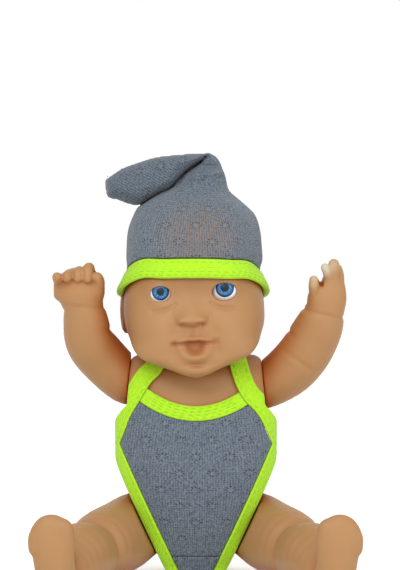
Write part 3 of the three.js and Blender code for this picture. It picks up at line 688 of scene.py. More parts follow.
def headRowsAt(offset):
    shape = headShape
    made = [
        [
            share * shape["height"] - shape["chinDrop"] + offset * (2 * share - 1),
            wide * shape["halfWidth"] + offset,
            front * shape["front"] + offset,
            back * shape["back"] + offset,
        ]
        for share, wide, front, back in shape["rows"]
    ]
    return smoothRows(made)


def hill(x, z, at, size, push):
    return push * np.exp(-(((x - at[0]) / size[0]) ** 2) - ((z - at[1]) / size[1]) ** 2)


# Strokes over the plain face in front view: place across and up, how far each spreads, and the push
# forwards. Those of the sides are placed by their distance out, and all but a few shift with the nose.
faceShape = {
    "nose": {"place": (-0.9, 17.3), "half": 4.6, "above": 4.8, "below": 1.5, "push": 3.4},
    "middle": {
        "bridge": (-0.7, 25.4, 3.2, 5, 0.6),
        "brow dip": (0, 29.5, 3.6, 4.2, -0.8),
        "lip groove": (-0.8, 12.4, 0.9, 1.8, -0.3),
        "nose base": (-0.8, 15.7, 1.8, 0.9, 0.9),
        "chin crease": (0.2, -0.5, 5.0, 1.0, -0.8),
        "chin": (0.5, -3.2, 4.6, 2.3, 1.3),
    },
    "sides": {
        "nose wing": (4.5, -0.9, 17.7, 1.8, 1.5, 1.6),
        "nostril": (4.1, -0.9, 15.7, 1.3, 0.55, -0.9),
        "wing fold": (7.1, -0.9, 18.6, 1.0, 2.3, -0.5),
        "smile fold": (8.6, 0, 12.6, 1.9, 3.0, -0.55),
        "cheek": (17, 0, 12.5, 7.5, 7.5, 1.6),
        "eye hollow": (13.2, 0, 28.6, 7.2, 5.2, -1.1),
        "brow": (12, 0, 34, 8, 2.5, 0.3),
        "lower lid": (12, 0, 24.2, 4.4, 1.4, 0.55),
        "lip groove edge": (1.6, -0.8, 12.8, 0.9, 2, 0.22),
        "chin side": (8.9, 0, 5.2, 1.6, 3.2, -0.6),
    },
    "bag": {"line": [(7.4, 24.4), (9.4, 22.9), (12.4, 21.9), (16.5, 21.8)], "depth": 0.6, "half": 0.9},
    "upperLip": {"height": 9.0, "middle": -0.4, "half": 8.4, "push": 1.25},
    "hollow": {"place": (0, 8.2), "half": (4.3, 4.5), "depth": 2.0},
    "lowerLip": {"place": (0, 8.4), "half": (7.4, 6.2), "thickness": 0.27, "push": 1.6},
    "gap": {"depth": 1.2, "half": 8.6},
    "mouthCorners": {-1: 8.5, 1: 9.1},
}


# How far the plain face is pushed forwards at each place in front view
def faceRelief(x, z):
    nose, bag = faceShape["nose"], faceShape["bag"]
    spread = np.where(z < nose["place"][1], nose["below"], nose["above"])
    across = np.abs((x - nose["place"][0]) / nose["half"])
    push = nose["push"] * np.exp(-(across**2.4) - ((z - nose["place"][1]) / spread) ** 2)
    for at, height, wide, tall, amount in faceShape["middle"].values():
        push = push + hill(x, z, (at, height), (wide, tall), amount)
    for side in (-1, 1):
        for out, shift, height, wide, tall, amount in faceShape["sides"].values():
            push = push + hill(x, z, (side * out + shift, height), (wide, tall), amount)
        line = np.array(bag["line"]) * (side, 1)
        push = push - bag["depth"] * np.exp(-((lineDistance(x, z, line) / bag["half"]) ** 2))
        corner = (side * 8.5, faceShape["mouthCorners"][side])
        push = push + hill(x, z, corner, (1.3, 1.2), -1.0)
    return push + mouthRelief(x, z)


# A small open mouth: a straight upper lip over a hollow shaped like a U, and a full lower lip round it
def mouthRelief(x, z):
    lip, hollowed, lower, gap = (faceShape[part] for part in ("upperLip", "hollow", "lowerLip", "gap"))
    fromMiddle = x - lip["middle"]
    bow = 0.15 * np.exp(-(((np.abs(x + 0.6) - 2.3) / 1.5) ** 2))
    upper = lip["height"] - 0.003 * fromMiddle**2 + bow
    push = np.exp(-(np.abs(fromMiddle / lip["half"]) ** 4)) * np.exp(-(((z - upper - 1.0) / 1.5) ** 2))
    under = upper - z
    below = 1 / (1 + np.exp(-under / 0.22))
    away = [np.hypot((x - part["place"][0]) / part["half"][0], (z - part["place"][1]) / part["half"][1])
            for part in (hollowed, lower)]
    hollow = np.clip((1.1 - away[0]) / 0.75, 0, 1)
    hollow = hollow * hollow * (3 - 2 * hollow)
    faded = np.exp(-((x / 6.2) ** 4)) * (1 - hollow)
    rim = lower["push"] * np.exp(-(((away[1] - 1) / lower["thickness"]) ** 2)) * faded
    line = gap["depth"] * np.exp(-(((under - 0.5) / 0.7) ** 2)) * np.exp(-((x / gap["half"]) ** 6))
    return lip["push"] * push + below * (rim - hollowed["depth"] * hollow - line * (1 - 0.6 * hollow))


def eyeCentre(side):
    low, high = nodeBox(f"{sideNames[side]}_eye_white")
    middle = (low + high) / 2
    world = np.array([middle[0], low[1] + eyeShape["radius"], middle[2]])
    return intoHead(world)


def intoHead(world):
    away = np.asarray(world, float) - neckSeat
    return np.stack([away @ neckAcross, away[..., 1], away @ neckUp], -1)


def outOfHead(local):
    local = np.asarray(local, float)
    across, back, up = (local[..., k:k + 1] for k in range(3))
    return neckSeat + across * neckAcross + back * np.array([0, 1, 0]) + up * neckUp


def makeHead():
    shape = headShape
    grid = gridOver([-36, -40, -8.5], [36, 33, 75], shape["step"])
    x, y, z = grid["at"]
    relief = faceRelief(x[:, 0, 0][:, None], z[0, 0, :][None, :])[:, None, :]
    ahead = np.clip((2 - y) / 12, 0, 1)
    rows = headRowsAt(0)
    fuller = np.where(x > 0, x / (1 + shape["leftCheek"] * np.exp(-(((z - 13) / 12) ** 2))), x)
    field = sectionLevel(fuller, y + relief * ahead, z, rows, shape["squareness"])
    field = evenOut(field, shape["step"])
    field = cut(field, np.maximum(z - rows[-1, 0], rows[0, 0] - z) + 0 * field, 0.6)
    made = shape["ear"]
    for side in (-1, 1):
        stand, lean = made["stand"][side], side * made["lean"]
        ear = ovalField(grid, (side * stand, *made["place"]), made["radii"], lean)
        inner = (side * (stand + made["hollowOut"]), *made["hollowPlace"])
        hollow = ovalField(grid, inner, made["hollowRadii"], lean)
        field = blend(field, cut(ear, -hollow, 0.8), 0.9)
        centre = eyeCentre(side)
        lid = ovalField(grid, centre, [eyeShape["radius"] + eyeShape["lid"]] * 3)
        field = blend(field, np.maximum(lid, y - centre[1]), eyeShape["lidBlend"])
        wide, high, shift, drop = eyeShape["opening"][side]
        opening = ovalField(grid, (centre[0] + shift, 0, centre[2] - drop), (wide, 1e3, high))
        opening = np.maximum(opening, y - centre[1])
        field = cut(field, -opening, eyeShape["lidEdge"])
        ball = ovalField(grid, centre, [eyeShape["radius"] + eyeShape["gap"]] * 3)
        field = np.maximum(field, -ball)
    ends = np.maximum(z - shape["neckTop"], shape["turningGap"] - z)
    neck = np.maximum(np.sqrt(x * x + y * y) - shape["neckCollar"], ends)
    field = blend(field, neck, shape["neckBlend"])
    points, faces = skinOf(field, grid)
    points = outOfHead(relaxed(points, faces, 1))
    piece = addMesh("head", points, faces, "head", headSkin)
    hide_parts("head_shell")


def makeEye(side):
    centre = eyeCentre(side)
    name = sideNames[side]
    radius = eyeShape["radius"]
    irisRadius = eyeShape["irisRadius"][side]
    count, rings = 72, 30
    gaze = np.array([0, -1, eyeShape["gaze"][side]])
    gaze /= np.linalg.norm(gaze)
    across = np.array([1.0, 0, 0])
    upwards = np.cross(across, gaze)

    def bowl(reach, swell):
        points, faces = [centre + gaze * (radius + swell)], []
        for ring in range(1, rings + 1):
            lean = reach * ring / rings
            out = radius + swell * (1 - (ring / rings) ** 2)
            for k in range(count):
                turn = 2 * math.pi * k / count
                way = across * math.cos(turn) + upwards * math.sin(turn)
                points.append(centre + out * (gaze * math.cos(lean) + way * math.sin(lean)))
        for k in range(count):
            after = (k + 1) % count
            faces.append([0, 1 + after, 1 + k])
            for ring in range(rings - 1):
                a, b = 1 + ring * count, 1 + (ring + 1) * count
                faces.append([a + k, a + after, b + after, b + k])
        return outOfHead(np.array(points)), faces

    points, faces = bowl(math.radians(80), 0)
    white = addMesh(f"{name}_eyeball", points, faces, "head", eyeballGloss)
    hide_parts(f"{name}_eye_white")
    reach = math.asin(irisRadius / radius)
    points, faces = bowl(reach, eyeShape["irisSwell"])
    middle = outOfHead(centre + gaze * radius)
    glass = iris(f"Printed blue iris, {name}", middle, irisRadius)
    points = points - np.array([0, eyeShape["irisProud"], 0])
    button = addMesh(f"{name}_iris", points, faces, "head", glass)
    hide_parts(f"{name}_eye_iris")


# Limbs

limbShape = {
    "seatGap": 0.18,
    "rootRound": 0.3,
    "handBlend": 1.6,
    "armStep": 0.5,
    "legStep": 0.6,
}
# Each station: out, forward and up from the joint's seat, then half width and half thickness
limbStations = {
    "right_arm": [
        [-4, 0, 0.2, 9.4, 9.6], [1.5, 0, 0.6, 9.8, 10], [11, 4, 9.8, 10.3, 10.2], [16, 9, 17, 10.1, 9.7],
        [17.5, 12.5, 25.3, 9.2, 8.9], [18.3, 15, 32.2, 8, 7.5], [19.5, 16, 37.2, 9.8, 7.4],
        [19.2, 16.5, 42, 8.6, 5.4], [19.1, 16.6, 43.5, 4.5, 2.5],
    ],
    "left_arm": [
        [-4, 0, -2, 9, 9.6], [1.5, 0, -1.6, 9.5, 10], [10.6, 4, 4.6, 10.7, 10.4], [17, 7, 11.9, 10.8, 10.4],
        [21.1, 9.6, 19.2, 10.4, 10], [23.4, 12, 24.4, 9.5, 9], [25.2, 14, 29.8, 7.9, 7.4],
        [26, 15, 34.6, 8, 6.4], [27.1, 15.4, 38.4, 6.7, 5], [28.2, 15.6, 41.4, 4.2, 3],
    ],
    "leg": [
        [-4, -2, 1.6, 12.6, 12.6], [3, 2, 0, 14, 14], [10, 14, -3.4, 14.7, 14.7],
        [16, 27, -4.8, 14.1, 14.1], [21, 38.5, -6.8, 12.2, 12.2], [25, 49.5, -6.6, 12.6, 12.6],
        [28.6, 61, -9, 10.2, 10.2], [31, 69, -11.8, 7.6, 7.6], [32, 74.5, -12, 7.6, 7.2],
        [32.5, 79, -8.4, 6.8, 7.6], [33, 81, -2.2, 5.4, 8], [33.6, 81.8, 3.8, 4, 8.6],
        [33.8, 82, 6.8, 2.3, 6.2],
    ],
}
fistFingers = [
    {
        "radius": 2.3,
        "places": [
            [out, 16.5, knuckle - 7], [out, 18.2, knuckle - 1.2], [out + 0.2, 21.8, knuckle - 0.6],
            [out + 0.5, 23.4, tip],
        ],
    }
    for out, knuckle, tip in ((28.1, 43.3, 43.4), (23.9, 44.65, 43.2), (19.6, 46, 43), (15.7, 47.35, 42.8))
]
fistThumb = {"radius": 2.6, "places": [[14, 16, 34], [12.4, 18, 38], [11.9, 20.5, 41.5], [12.4, 22, 43.2]]}
openFingers = [
    {"radius": radius, "places": places} for radius, places in (
        (2.05, [[27, 16, 37], [26.7, 17.4, 41.6], [26, 18.9, 45], [24.9, 19.6, 47.3]]),
        (2.65, [[28, 16, 38], [28.4, 16.4, 43.4], [28.6, 17, 46.6], [28.6, 17.3, 48.6]]),
        (2.2, [[30.4, 14.8, 37], [30.9, 14.6, 42], [30.6, 14.8, 45.2], [30.3, 15, 46.8]]),
        (1.9, [[31, 13, 35], [31.4, 12.4, 39.6], [31.2, 12.2, 42], [31, 12.2, 43.4]]),
        (2.15, [[21.6, 16.4, 33], [20.6, 18.8, 36.8], [20.2, 20.6, 40], [20.2, 21.4, 42.2]]),
    )
]
thumbWeb = {"place": (23.5, 18.5, 42), "radii": (0.95, 6, 2.7)}
toes = [
    {
        "radius": 2.9 if toe == 0 else 2.2 - 0.12 * toe,
        "places": [[out, 82, 3 - toe * 0.8], [out, 82.4, 6.4 - toe * 0.9], [out, 83, 8.2 - toe]],
    }
    for toe, out in enumerate((28.6, 32.6, 35.6, 38.2, 40.3))
]


def limbPlace(seat, side, place):
    return np.array([seat[0] + side * place[0], seat[1] - place[1], seat[2] + place[2]])


def limbWay(side, way):
    turned = np.array([side * way[0], -way[1], way[2]], float)
    return turned / np.linalg.norm(turned)


def makeLimb(name, seat, way, side, stations, digits, thickWay, creases, surface, step,
             soft=0.55, web=None):
    fine = smoothRows(stations, 40)
    path = np.array([limbPlace(seat, side, row) for row in fine])
    radii, flat = fine[:, 3], fine[:, 4] / fine[:, 3]
    low, high = nodeBox(name)
    grid = gridOver(low - 2.5, high + 2.5, step)
    field = tubeField(grid, path, radii, flat, thickWay)
    for fold in creases:
        place = limbPlace(seat, side, fold["place"])
        normal = limbWay(side, fold["way"])
        toward = limbWay(side, fold["toward"]) if "toward" in fold else None
        spread = fold.get("spread", 4.0)
        field = crease(field, grid, place, normal, fold["depth"], fold["width"], toward, spread)
    hand = None
    for digit in digits:
        places = smoothRows([limbPlace(seat, side, p) for p in digit["places"]], 9)
        radius = digit["radius"] * np.interp(np.linspace(0, 1, 9), [0, 0.6, 1], [1, 1, 0.86])
        piece = tubeField(grid, places, radius)
        hand = piece if hand is None else blend(hand, piece, soft)
    field = blend(field, hand, limbShape["handBlend"])
    if web:
        field = cut(field, -ovalField(grid, limbPlace(seat, side, web["place"]), web["radii"]), 0.4)
    root = seat + way * limbShape["seatGap"]
    field = cut(field, -planeField(grid, root, way), limbShape["rootRound"])
    points, faces = skinOf(field, grid)
    piece = addMesh(name + "_vinyl", relaxed(points, faces), faces, name, surface)
    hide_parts(name)
    return piece


armCreases = {
    -1: [
        {"place": (18.2, 14, 31.8), "way": (-0.1, 0.1, 1), "depth": 0.4, "width": 0.9},
        {"place": (7.6, 12, 21.6), "way": (-0.5, 0.1, 1), "depth": 1.5, "width": 1.0,
         "toward": (-1, 0.1, 0), "spread": 0.9},
    ],
    1: [
        {"place": (25, 13.4, 28.6), "way": (0.22, 0.1, 1), "depth": 0.55, "width": 0.8},
        {"place": (10.6, 12, 20.9), "way": (0.6, 0.1, 1), "depth": 1.5, "width": 1.0,
         "toward": (-1, 0.1, 0.3), "spread": 1.1},
        {"place": (17.4, 14, 6.6), "way": (0.7, 0, 1), "depth": 0.35, "width": 1.1,
         "toward": (0, 1, 0), "spread": 1.1},
    ],
}
legCreases = [
    {"place": (21, 38.5, -6.8), "way": (0.3, 1, 0), "depth": 1.3, "width": 1.6, "toward": (0, 0, 1)},
    {"place": (31, 69.6, -11.8), "way": (0.2, 1, -0.1), "depth": 1.2, "width": 1.3},
]


# Cap

capShape = {
    "gap": 0.6,
    "thickness": 1.5,
    "squareness": (2.2, 2.2),
    "bandWidth": 8,
    "bandThickness": 2.0,
    "bandHeight": 28.1,
    "bandTilt": math.radians(11),
    "bandStitches": (1.3, 2.6, 6.4),
    "rows": [
        [38, -26.4, 26, 25], [42, -28.2, 27.6, 29.4], [48, -28.3, 27.4, 29.4],
        [54.5, -27.7, 26.7, 27.4], [60.4, -25.7, 24.9, 24], [64.2, -23.8, 21.6, 20.4],
        [67.5, -19.8, 17.6, 17], [69.8, -15.2, 14.8, 14.6], [72.2, -10.4, 13.3, 13],
        [77.5, -5.4, 12.1, 11.4], [81.6, -0.6, 10.1, 9.4], [84.6, 3, 7.9, 6], [86, 5.4, 5.8, 0.6],
    ],
    "tail": [
        [-35.9, 78], [-31, 80], [-26, 81.9], [-16.7, 84.7], [-6, 85.9], [1, 86.4], [4.4, 86], [7.4, 84],
        [8.6, 81.6], [5.6, 81.4], [1.6, 81.6], [-3.6, 77.4], [-8.4, 71.8], [-14.6, 68.4], [-19.6, 65.8],
        [-23.6, 65], [-28.4, 65.8], [-32.6, 67.4], [-36.2, 68.3], [-37.3, 70.6], [-37.4, 75.6],
    ],
    "domeBlend": 2.0,
    "rimEdge": 0.4,
    "rimGap": 0.3,
    "clothFlat": (180, 62, 8800),
    "bandFlat": (190, 10.5),
    "tailDepth": 10.8,
    "tailRound": 6.6,
    "tailMiddle": -1.2,
    "pocket": [[3.9, 84.5], [1.6, 82.9], [-1.4, 81.2], [-4.6, 78.6]],
    "fold": [[-4.6, 78.6], [-8.3, 74.6], [-11, 71.4], [-15.6, 69.2], [-19.6, 67], [-23, 65.2]],
    "ridge": [[-3.9, 77.6], [-1.6, 76], [0.6, 75.4], [4.6, 77.2], [10.2, 78.2]],
    "pocketDepth": 2.2,
    "foldDepth": 1.1,
    "dent": ((4.2, 80), (3.6, 1.7)),
    "unrolled": 30,
    "rimPull": ((21.5, 5.5, 1.1), (33, 3.4, -1.4)),
    "step": 0.5,
}
rimPlace = neckSeat + np.array([0, 0, capShape["bandHeight"]])
rimUp = np.array([0, math.sin(capShape["bandTilt"]), math.cos(capShape["bandTilt"])])


# The plain head, grown by an offset and turned on its neck
def headGridIn(grid, offset, turn=0.0):
    x, y, z = grid["at"]
    x, z = x - neckSeat[0], z - neckSeat[2]
    hx = x * neckAcross[0] + z * neckAcross[2]
    hz = x * neckUp[0] + z * neckUp[2]
    if turn:
        c, s = math.cos(turn), math.sin(turn)
        hx, y = c * hx + s * y, c * y - s * hx
    rows = headRowsAt(offset)
    sides = sectionLevel(hx, y, hz, rows, headShape["squareness"])
    sides = evenOut(sides, grid["step"])
    return cut(sides, np.maximum(hz - rows[-1, 0], rows[0, 0] - hz) + 0 * sides, 0.6)


# How far the band's edge is pulled up on each side of the forehead
def rimArch(at):
    sideways = np.abs(at[0])
    pulls = (
        amount * np.exp(-(((sideways - out) / wide) ** 2)) for out, wide, amount in capShape["rimPull"]
    )
    return sum(pulls) / (1 + np.exp(at[1] / 3))


# Height over the band's lower edge
def rimLift(at):
    return sum((a - p) * w for a, p, w in zip(at, rimPlace, rimUp)) - rimArch(at)


# Signed distance to a closed outline in front view, negative inside
def outlineDistance(x, z, outline):
    ring = np.concatenate([outline, outline[:1]])
    away = lineDistance(x, z, ring)
    inside = np.zeros(np.broadcast(x, z).shape, bool)
    for a, b in zip(ring[:-1], ring[1:]):
        spans = (a[1] > z) != (b[1] > z)
        crossing = a[0] + (z - a[1]) * (b[0] - a[0]) / (b[1] - a[1] if b[1] != a[1] else 1e-9)
        inside ^= spans & (x < crossing)
    return np.where(inside, -away, away)


def makeCap():
    shape = capShape
    low, high = nodeBox("cap_body")
    grid = gridOver(low - 2, high + 2, shape["step"])
    x, y, z = grid["at"]
    inner = headGridIn(grid, shape["gap"])
    dome = headGridIn(grid, shape["gap"] + shape["thickness"])
    rows = smoothRows([[h, (r - l) / 2, d, d, (l + r) / 2] for h, l, r, d in shape["rows"]])
    lift = z - neckSeat[2]
    middle = np.interp(lift, rows[:, 0], rows[:, 4])
    slack = evenOut(sectionLevel(x - middle, y, lift, rows[:, :4], shape["squareness"]), shape["step"])
    slack = cut(slack, np.maximum(lift - rows[-1, 0], rows[0, 0] - lift) + 0 * slack, 1.0)
    outer = blend(dome, slack, shape["domeBlend"])
    corners = shape["tail"]
    outline = smoothRows(corners[-1:] + corners + corners[:2], 150)
    inset = -outlineDistance(x[:, 0], lift[0], outline)[:, None, :]
    rounded = 1 - np.clip(inset / shape["tailRound"], 0, 1)
    depth = shape["tailDepth"] * np.sqrt(np.clip(1 - rounded**2, 0, 1))
    tail = np.abs(y - shape["tailMiddle"]) - depth
    tail = np.where(inset < 0, np.sqrt(np.maximum(tail, 0) ** 2 + inset**2), tail)
    tail = evenOut(tail, shape["step"])
    pocket, fold, ridge = (
        lineDistance(x[:, 0], lift[0], smoothRows(shape[line], 30))[:, None, :]
        for line in ("pocket", "fold", "ridge")
    )
    front = 1 / (1 + np.exp(y / 1.5))
    side = hill(x, lift, *shape["dent"], 1.0) - np.exp(-((ridge / 0.9) ** 2))
    corner = np.clip((x - 1) / 4, 0, 1)
    outer = blend(outer + side * front, tail, 0.5 + 3.5 * corner)
    outer = outer + shape["pocketDepth"] * front * np.exp(-((pocket / 0.9) ** 2))
    outer = outer + shape["foldDepth"] * front * np.exp(-((fold / 0.8) ** 2))
    aboveRim = shape["bandWidth"] + shape["rimGap"] - rimLift(grid["at"])
    field = cut(outer, aboveRim, shape["rimEdge"])
    field = np.maximum(field, -inner)
    points, faces = skinOf(field, grid)
    points = relaxed(points, faces)
    piece = addMesh("cap_knit", points, faces, "cap", capCloth)
    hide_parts("cap_body")
    across, along = np.arctan2(points[:, 0], -points[:, 1]) * shape["unrolled"], points[:, 2].copy()
    onTail = outlineDistance(points[:, 0], points[:, 2] - neckSeat[2], outline) < 0.2
    across[onTail] = 0.5 * points[onTail, 0] + 0.87 * points[onTail, 2]
    along[onTail] = 0.87 * points[onTail, 0] - 0.5 * points[onTail, 2]
    setKnit(piece, across, along, 2 * math.pi * shape["unrolled"])
    # Painted shade for the knit, kept as the "fold" attribute: dark along the pocket and fold lines on the
    # front, and a little darker over the whole tail
    lines = [smoothRows(shape[line], 60) for line in ("pocket", "fold")]
    away = np.minimum(*(lineDistance(points[:, 0], points[:, 2] - neckSeat[2], line) for line in lines))
    dark = np.where(points[:, 1] < 4, 0.85 * np.exp(-((away / 0.6) ** 2)), 0) + 0.16 * onTail
    piece.data.attributes.new("fold", "FLOAT", "POINT").data.foreach_set("value", np.clip(dark, 0, 1))
    declareCloth(piece, points[faces], shape["clothFlat"])
    return piece


def makeBand():
    shape = capShape
    low, high = nodeBox("cap_band")
    grid = gridOver(low - 2, high + 2, 0.45)
    lift = rimLift(grid["at"])
    half = shape["bandWidth"] / 2
    swell = shape["bandThickness"] * np.sqrt(np.clip(1.06 - ((lift - half) / half) ** 4 * 0.5, 0.1, 1))
    body = headGridIn(grid, 0)
    flare = np.clip((np.abs(grid["at"][0]) - 25) / 6, 0, 1)
    bulge = 0.9 * flare * np.clip(1 - lift / shape["bandWidth"], 0, 1)
    outer = body - shape["gap"] - swell - bulge
    field = cut(outer, shape["gap"] - body, 0.6)
    field = cut(field, np.maximum(-lift, lift - shape["bandWidth"]), 0.9)
    points, faces = skinOf(field, grid)
    points = relaxed(points, faces)
    piece = addMesh("cap_binding", points, faces, "cap", brightCloth)
    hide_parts("cap_band")
    setKnit(piece, rimLift(points.T), np.arctan2(points[:, 0], -points[:, 1]) * shape["unrolled"])
    declareCloth(piece, points[faces], shape["bandFlat"])
    turns = np.linspace(0, 2 * math.pi, 160)
    across = np.array([1.0, 0, 0])
    ways = -(np.cos(turns)[:, None] * across + np.sin(turns)[:, None] * np.cross(rimUp, across))
    rows = []
    for inset in shape["bandStitches"]:
        starts = rimPlace + rimUp * inset - 48 * ways
        met = metSurface(field, grid, starts, ways)[0]
        starts = starts + rimUp * rimArch(met.T)[:, None]
        found, normals, _ = metSurface(field, grid, starts, ways)
        rows.append((found, normals))
    addStitches("band_stitches", "cap", rows, brightThread)
    return piece


# Bodysuit: every panel and binding is a slice of one skin over the torso

suitShape = {
    "skinGap": 0.4,
    "knit": 1.2,
    "binding": 1.7,
    "seat": 1.8,
    "armholeWidth": 7.4,
    "neckWidth": 6,
    "legWidth": 5,
    "seam": 0.1,
    "frontDrop": 17.6,
    "backDrop": 10,
    "frontRise": 0.0178,
    "backRise": 0.012,
    "strap": {
        -1: [
            [7.2, -24.5], [5, -18.8], [3, -13.4], [1.4, -10.3], [-1.1, -6.2],
            [-3.8, -1.7], [-6.8, 2.8], [-10.6, 6.8], [-11.6, 11], [-11.6, 18],
        ],
        1: [
            [7.2, -24.5], [4.8, -18.8], [2, -13], [-1, -8.8], [-4, -5.8], [-6.1, -3.1],
            [-7.7, 0], [-9.1, 3.7], [-10.2, 7.7], [-11.2, 12], [-11.6, 18],
        ],
    },
    "armRoom": 16.8,
    "neckRoom": 12.1,
    "headTurns": (-12, 18),
    "jawRoom": 0.5,
    "sideSeam": 1,
    "seatTop": 9,
    "closureWidth": 10,
    "closureLength": 42,
    "closureThickness": 1,
    "edgeRound": 0.7,
    "cutRound": 0.3,
    "unrolled": 24,
    "neckStitches": (1.0, 2.3, 3.6, 5.0),
    "strapStitches": (-2.2, 2.5),
    "legStitches": (-1.6, -4.0),
    "flat": {
        "front": (60, 62, 2900),
        "back": (32, 68, 1620),
        "seat": (20, 50, 800),
        "neckFront": (40, 10),
        "neckBack": (33, 10),
        "armhole": (100, 11.5),
        "leg": (155, 10.5),
        "tape": (10, 43),
    },
    "step": 0.45,
}
stitchShape = {"length": 2.3, "gap": 0.9, "radius": 0.22}
strapLines = {
    side: smoothRows(rows, 60) + shoulderSeats[1][[0, 2]] for side, rows in suitShape["strap"].items()
}


def neckline(x, back):
    shape = suitShape
    if back:
        return neckSeat[2] - shape["backDrop"] + shape["backRise"] * x**2
    return neckSeat[2] - shape["frontDrop"] + shape["frontRise"] * x**2


def aboveNeckline(x, z, back):
    rise = suitShape["backRise"] if back else suitShape["frontRise"]
    return (z - neckline(x, back)) / np.sqrt(1 + (2 * rise * x) ** 2)


# The surface met on the way in from each start, and its outward normal there
def metSurface(field, grid, starts, ways):
    low, step = grid["low"], grid["step"]
    limit = np.array(field.shape) - 2

    def sampled(points):
        at = np.clip((points - low) / step, 0, limit + 0.999)
        base = np.minimum(at.astype(int), limit)
        part = at - base
        total = np.zeros(len(points))
        for i in (0, 1):
            for j in (0, 1):
                for k in (0, 1):
                    share = np.prod(np.where([i, j, k], part, 1 - part), axis=1)
                    total += share * field[tuple((base + [i, j, k]).T)]
        return total

    reach = np.zeros(len(starts))
    met = np.zeros(len(starts), bool)
    for _ in range(260):
        value = sampled(starts + ways * reach[:, None])
        met |= value < 0
        reach[~met] += 0.3
    for half in (0.15, 0.075, 0.04, 0.02):
        inside = sampled(starts + ways * reach[:, None]) < 0
        reach += np.where(inside, -half, half)
    points = starts + ways * reach[:, None]
    normals = np.stack([sampled(points + d) - sampled(points - d) for d in np.eye(3) * 0.5], 1)
    normals /= np.maximum(np.linalg.norm(normals, axis=1, keepdims=True), 1e-6)
    return points, normals, met


# A row of machine stitches lying on a surface, as one mesh of small flat lozenges
def addStitches(name, body, rows, surface):
    shape = stitchShape
    pitch = shape["length"] + shape["gap"]
    points, faces = [], []
    rings = [(-1, 0.25), (-0.7, 0.85), (0, 1), (0.7, 0.85), (1, 0.25)]
    sides = 6
    for path, normals in rows:
        along = np.concatenate([[0], np.cumsum(np.linalg.norm(np.diff(path, axis=0), axis=1))])
        for at in np.arange(shape["length"] / 2, along[-1] - shape["length"] / 2, pitch):
            spots = [
                np.array([np.interp(at + d, along, path[:, k]) for k in range(3)]) for d in (-0.5, 0, 0.5)
            ]
            up = np.array([np.interp(at, along, normals[:, k]) for k in range(3)])
            up /= np.linalg.norm(up)
            way = spots[2] - spots[0]
            way -= up * (way @ up)
            way /= max(np.linalg.norm(way), 1e-6)
            across = np.cross(up, way)
            start = len(points)
            for share, wide in rings:
                middle = spots[1] + way * share * shape["length"] / 2 + up * (0.06 - 0.16 * share**2)
                for k in range(sides):
                    turn = 2 * math.pi * k / sides
                    out = across * math.cos(turn) + 0.6 * up * math.sin(turn)
                    points.append(middle + shape["radius"] * wide * out)
            for ring in range(len(rings) - 1):
                for k in range(sides):
                    after = (k + 1) % sides
                    a, b = start + ring * sides, start + (ring + 1) * sides
                    faces.append([a + k, a + after, b + after, b + k])
            faces.append([start + k for k in reversed(range(sides))])
            last = start + (len(rings) - 1) * sides
            faces.append([last + k for k in range(sides)])
    return addMesh(name, np.array(points), faces, body, surface)


def clothPiece(name, field, grid, node, surface, uv, flat):
    points, faces = skinOf(field, grid)
    points = relaxed(points, faces)
    piece = addMesh(name, points, faces, "body", surface)
    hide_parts(node)
    setKnit(piece, *uv(points))
    declareCloth(piece, points[faces], suitShape["flat"][flat])


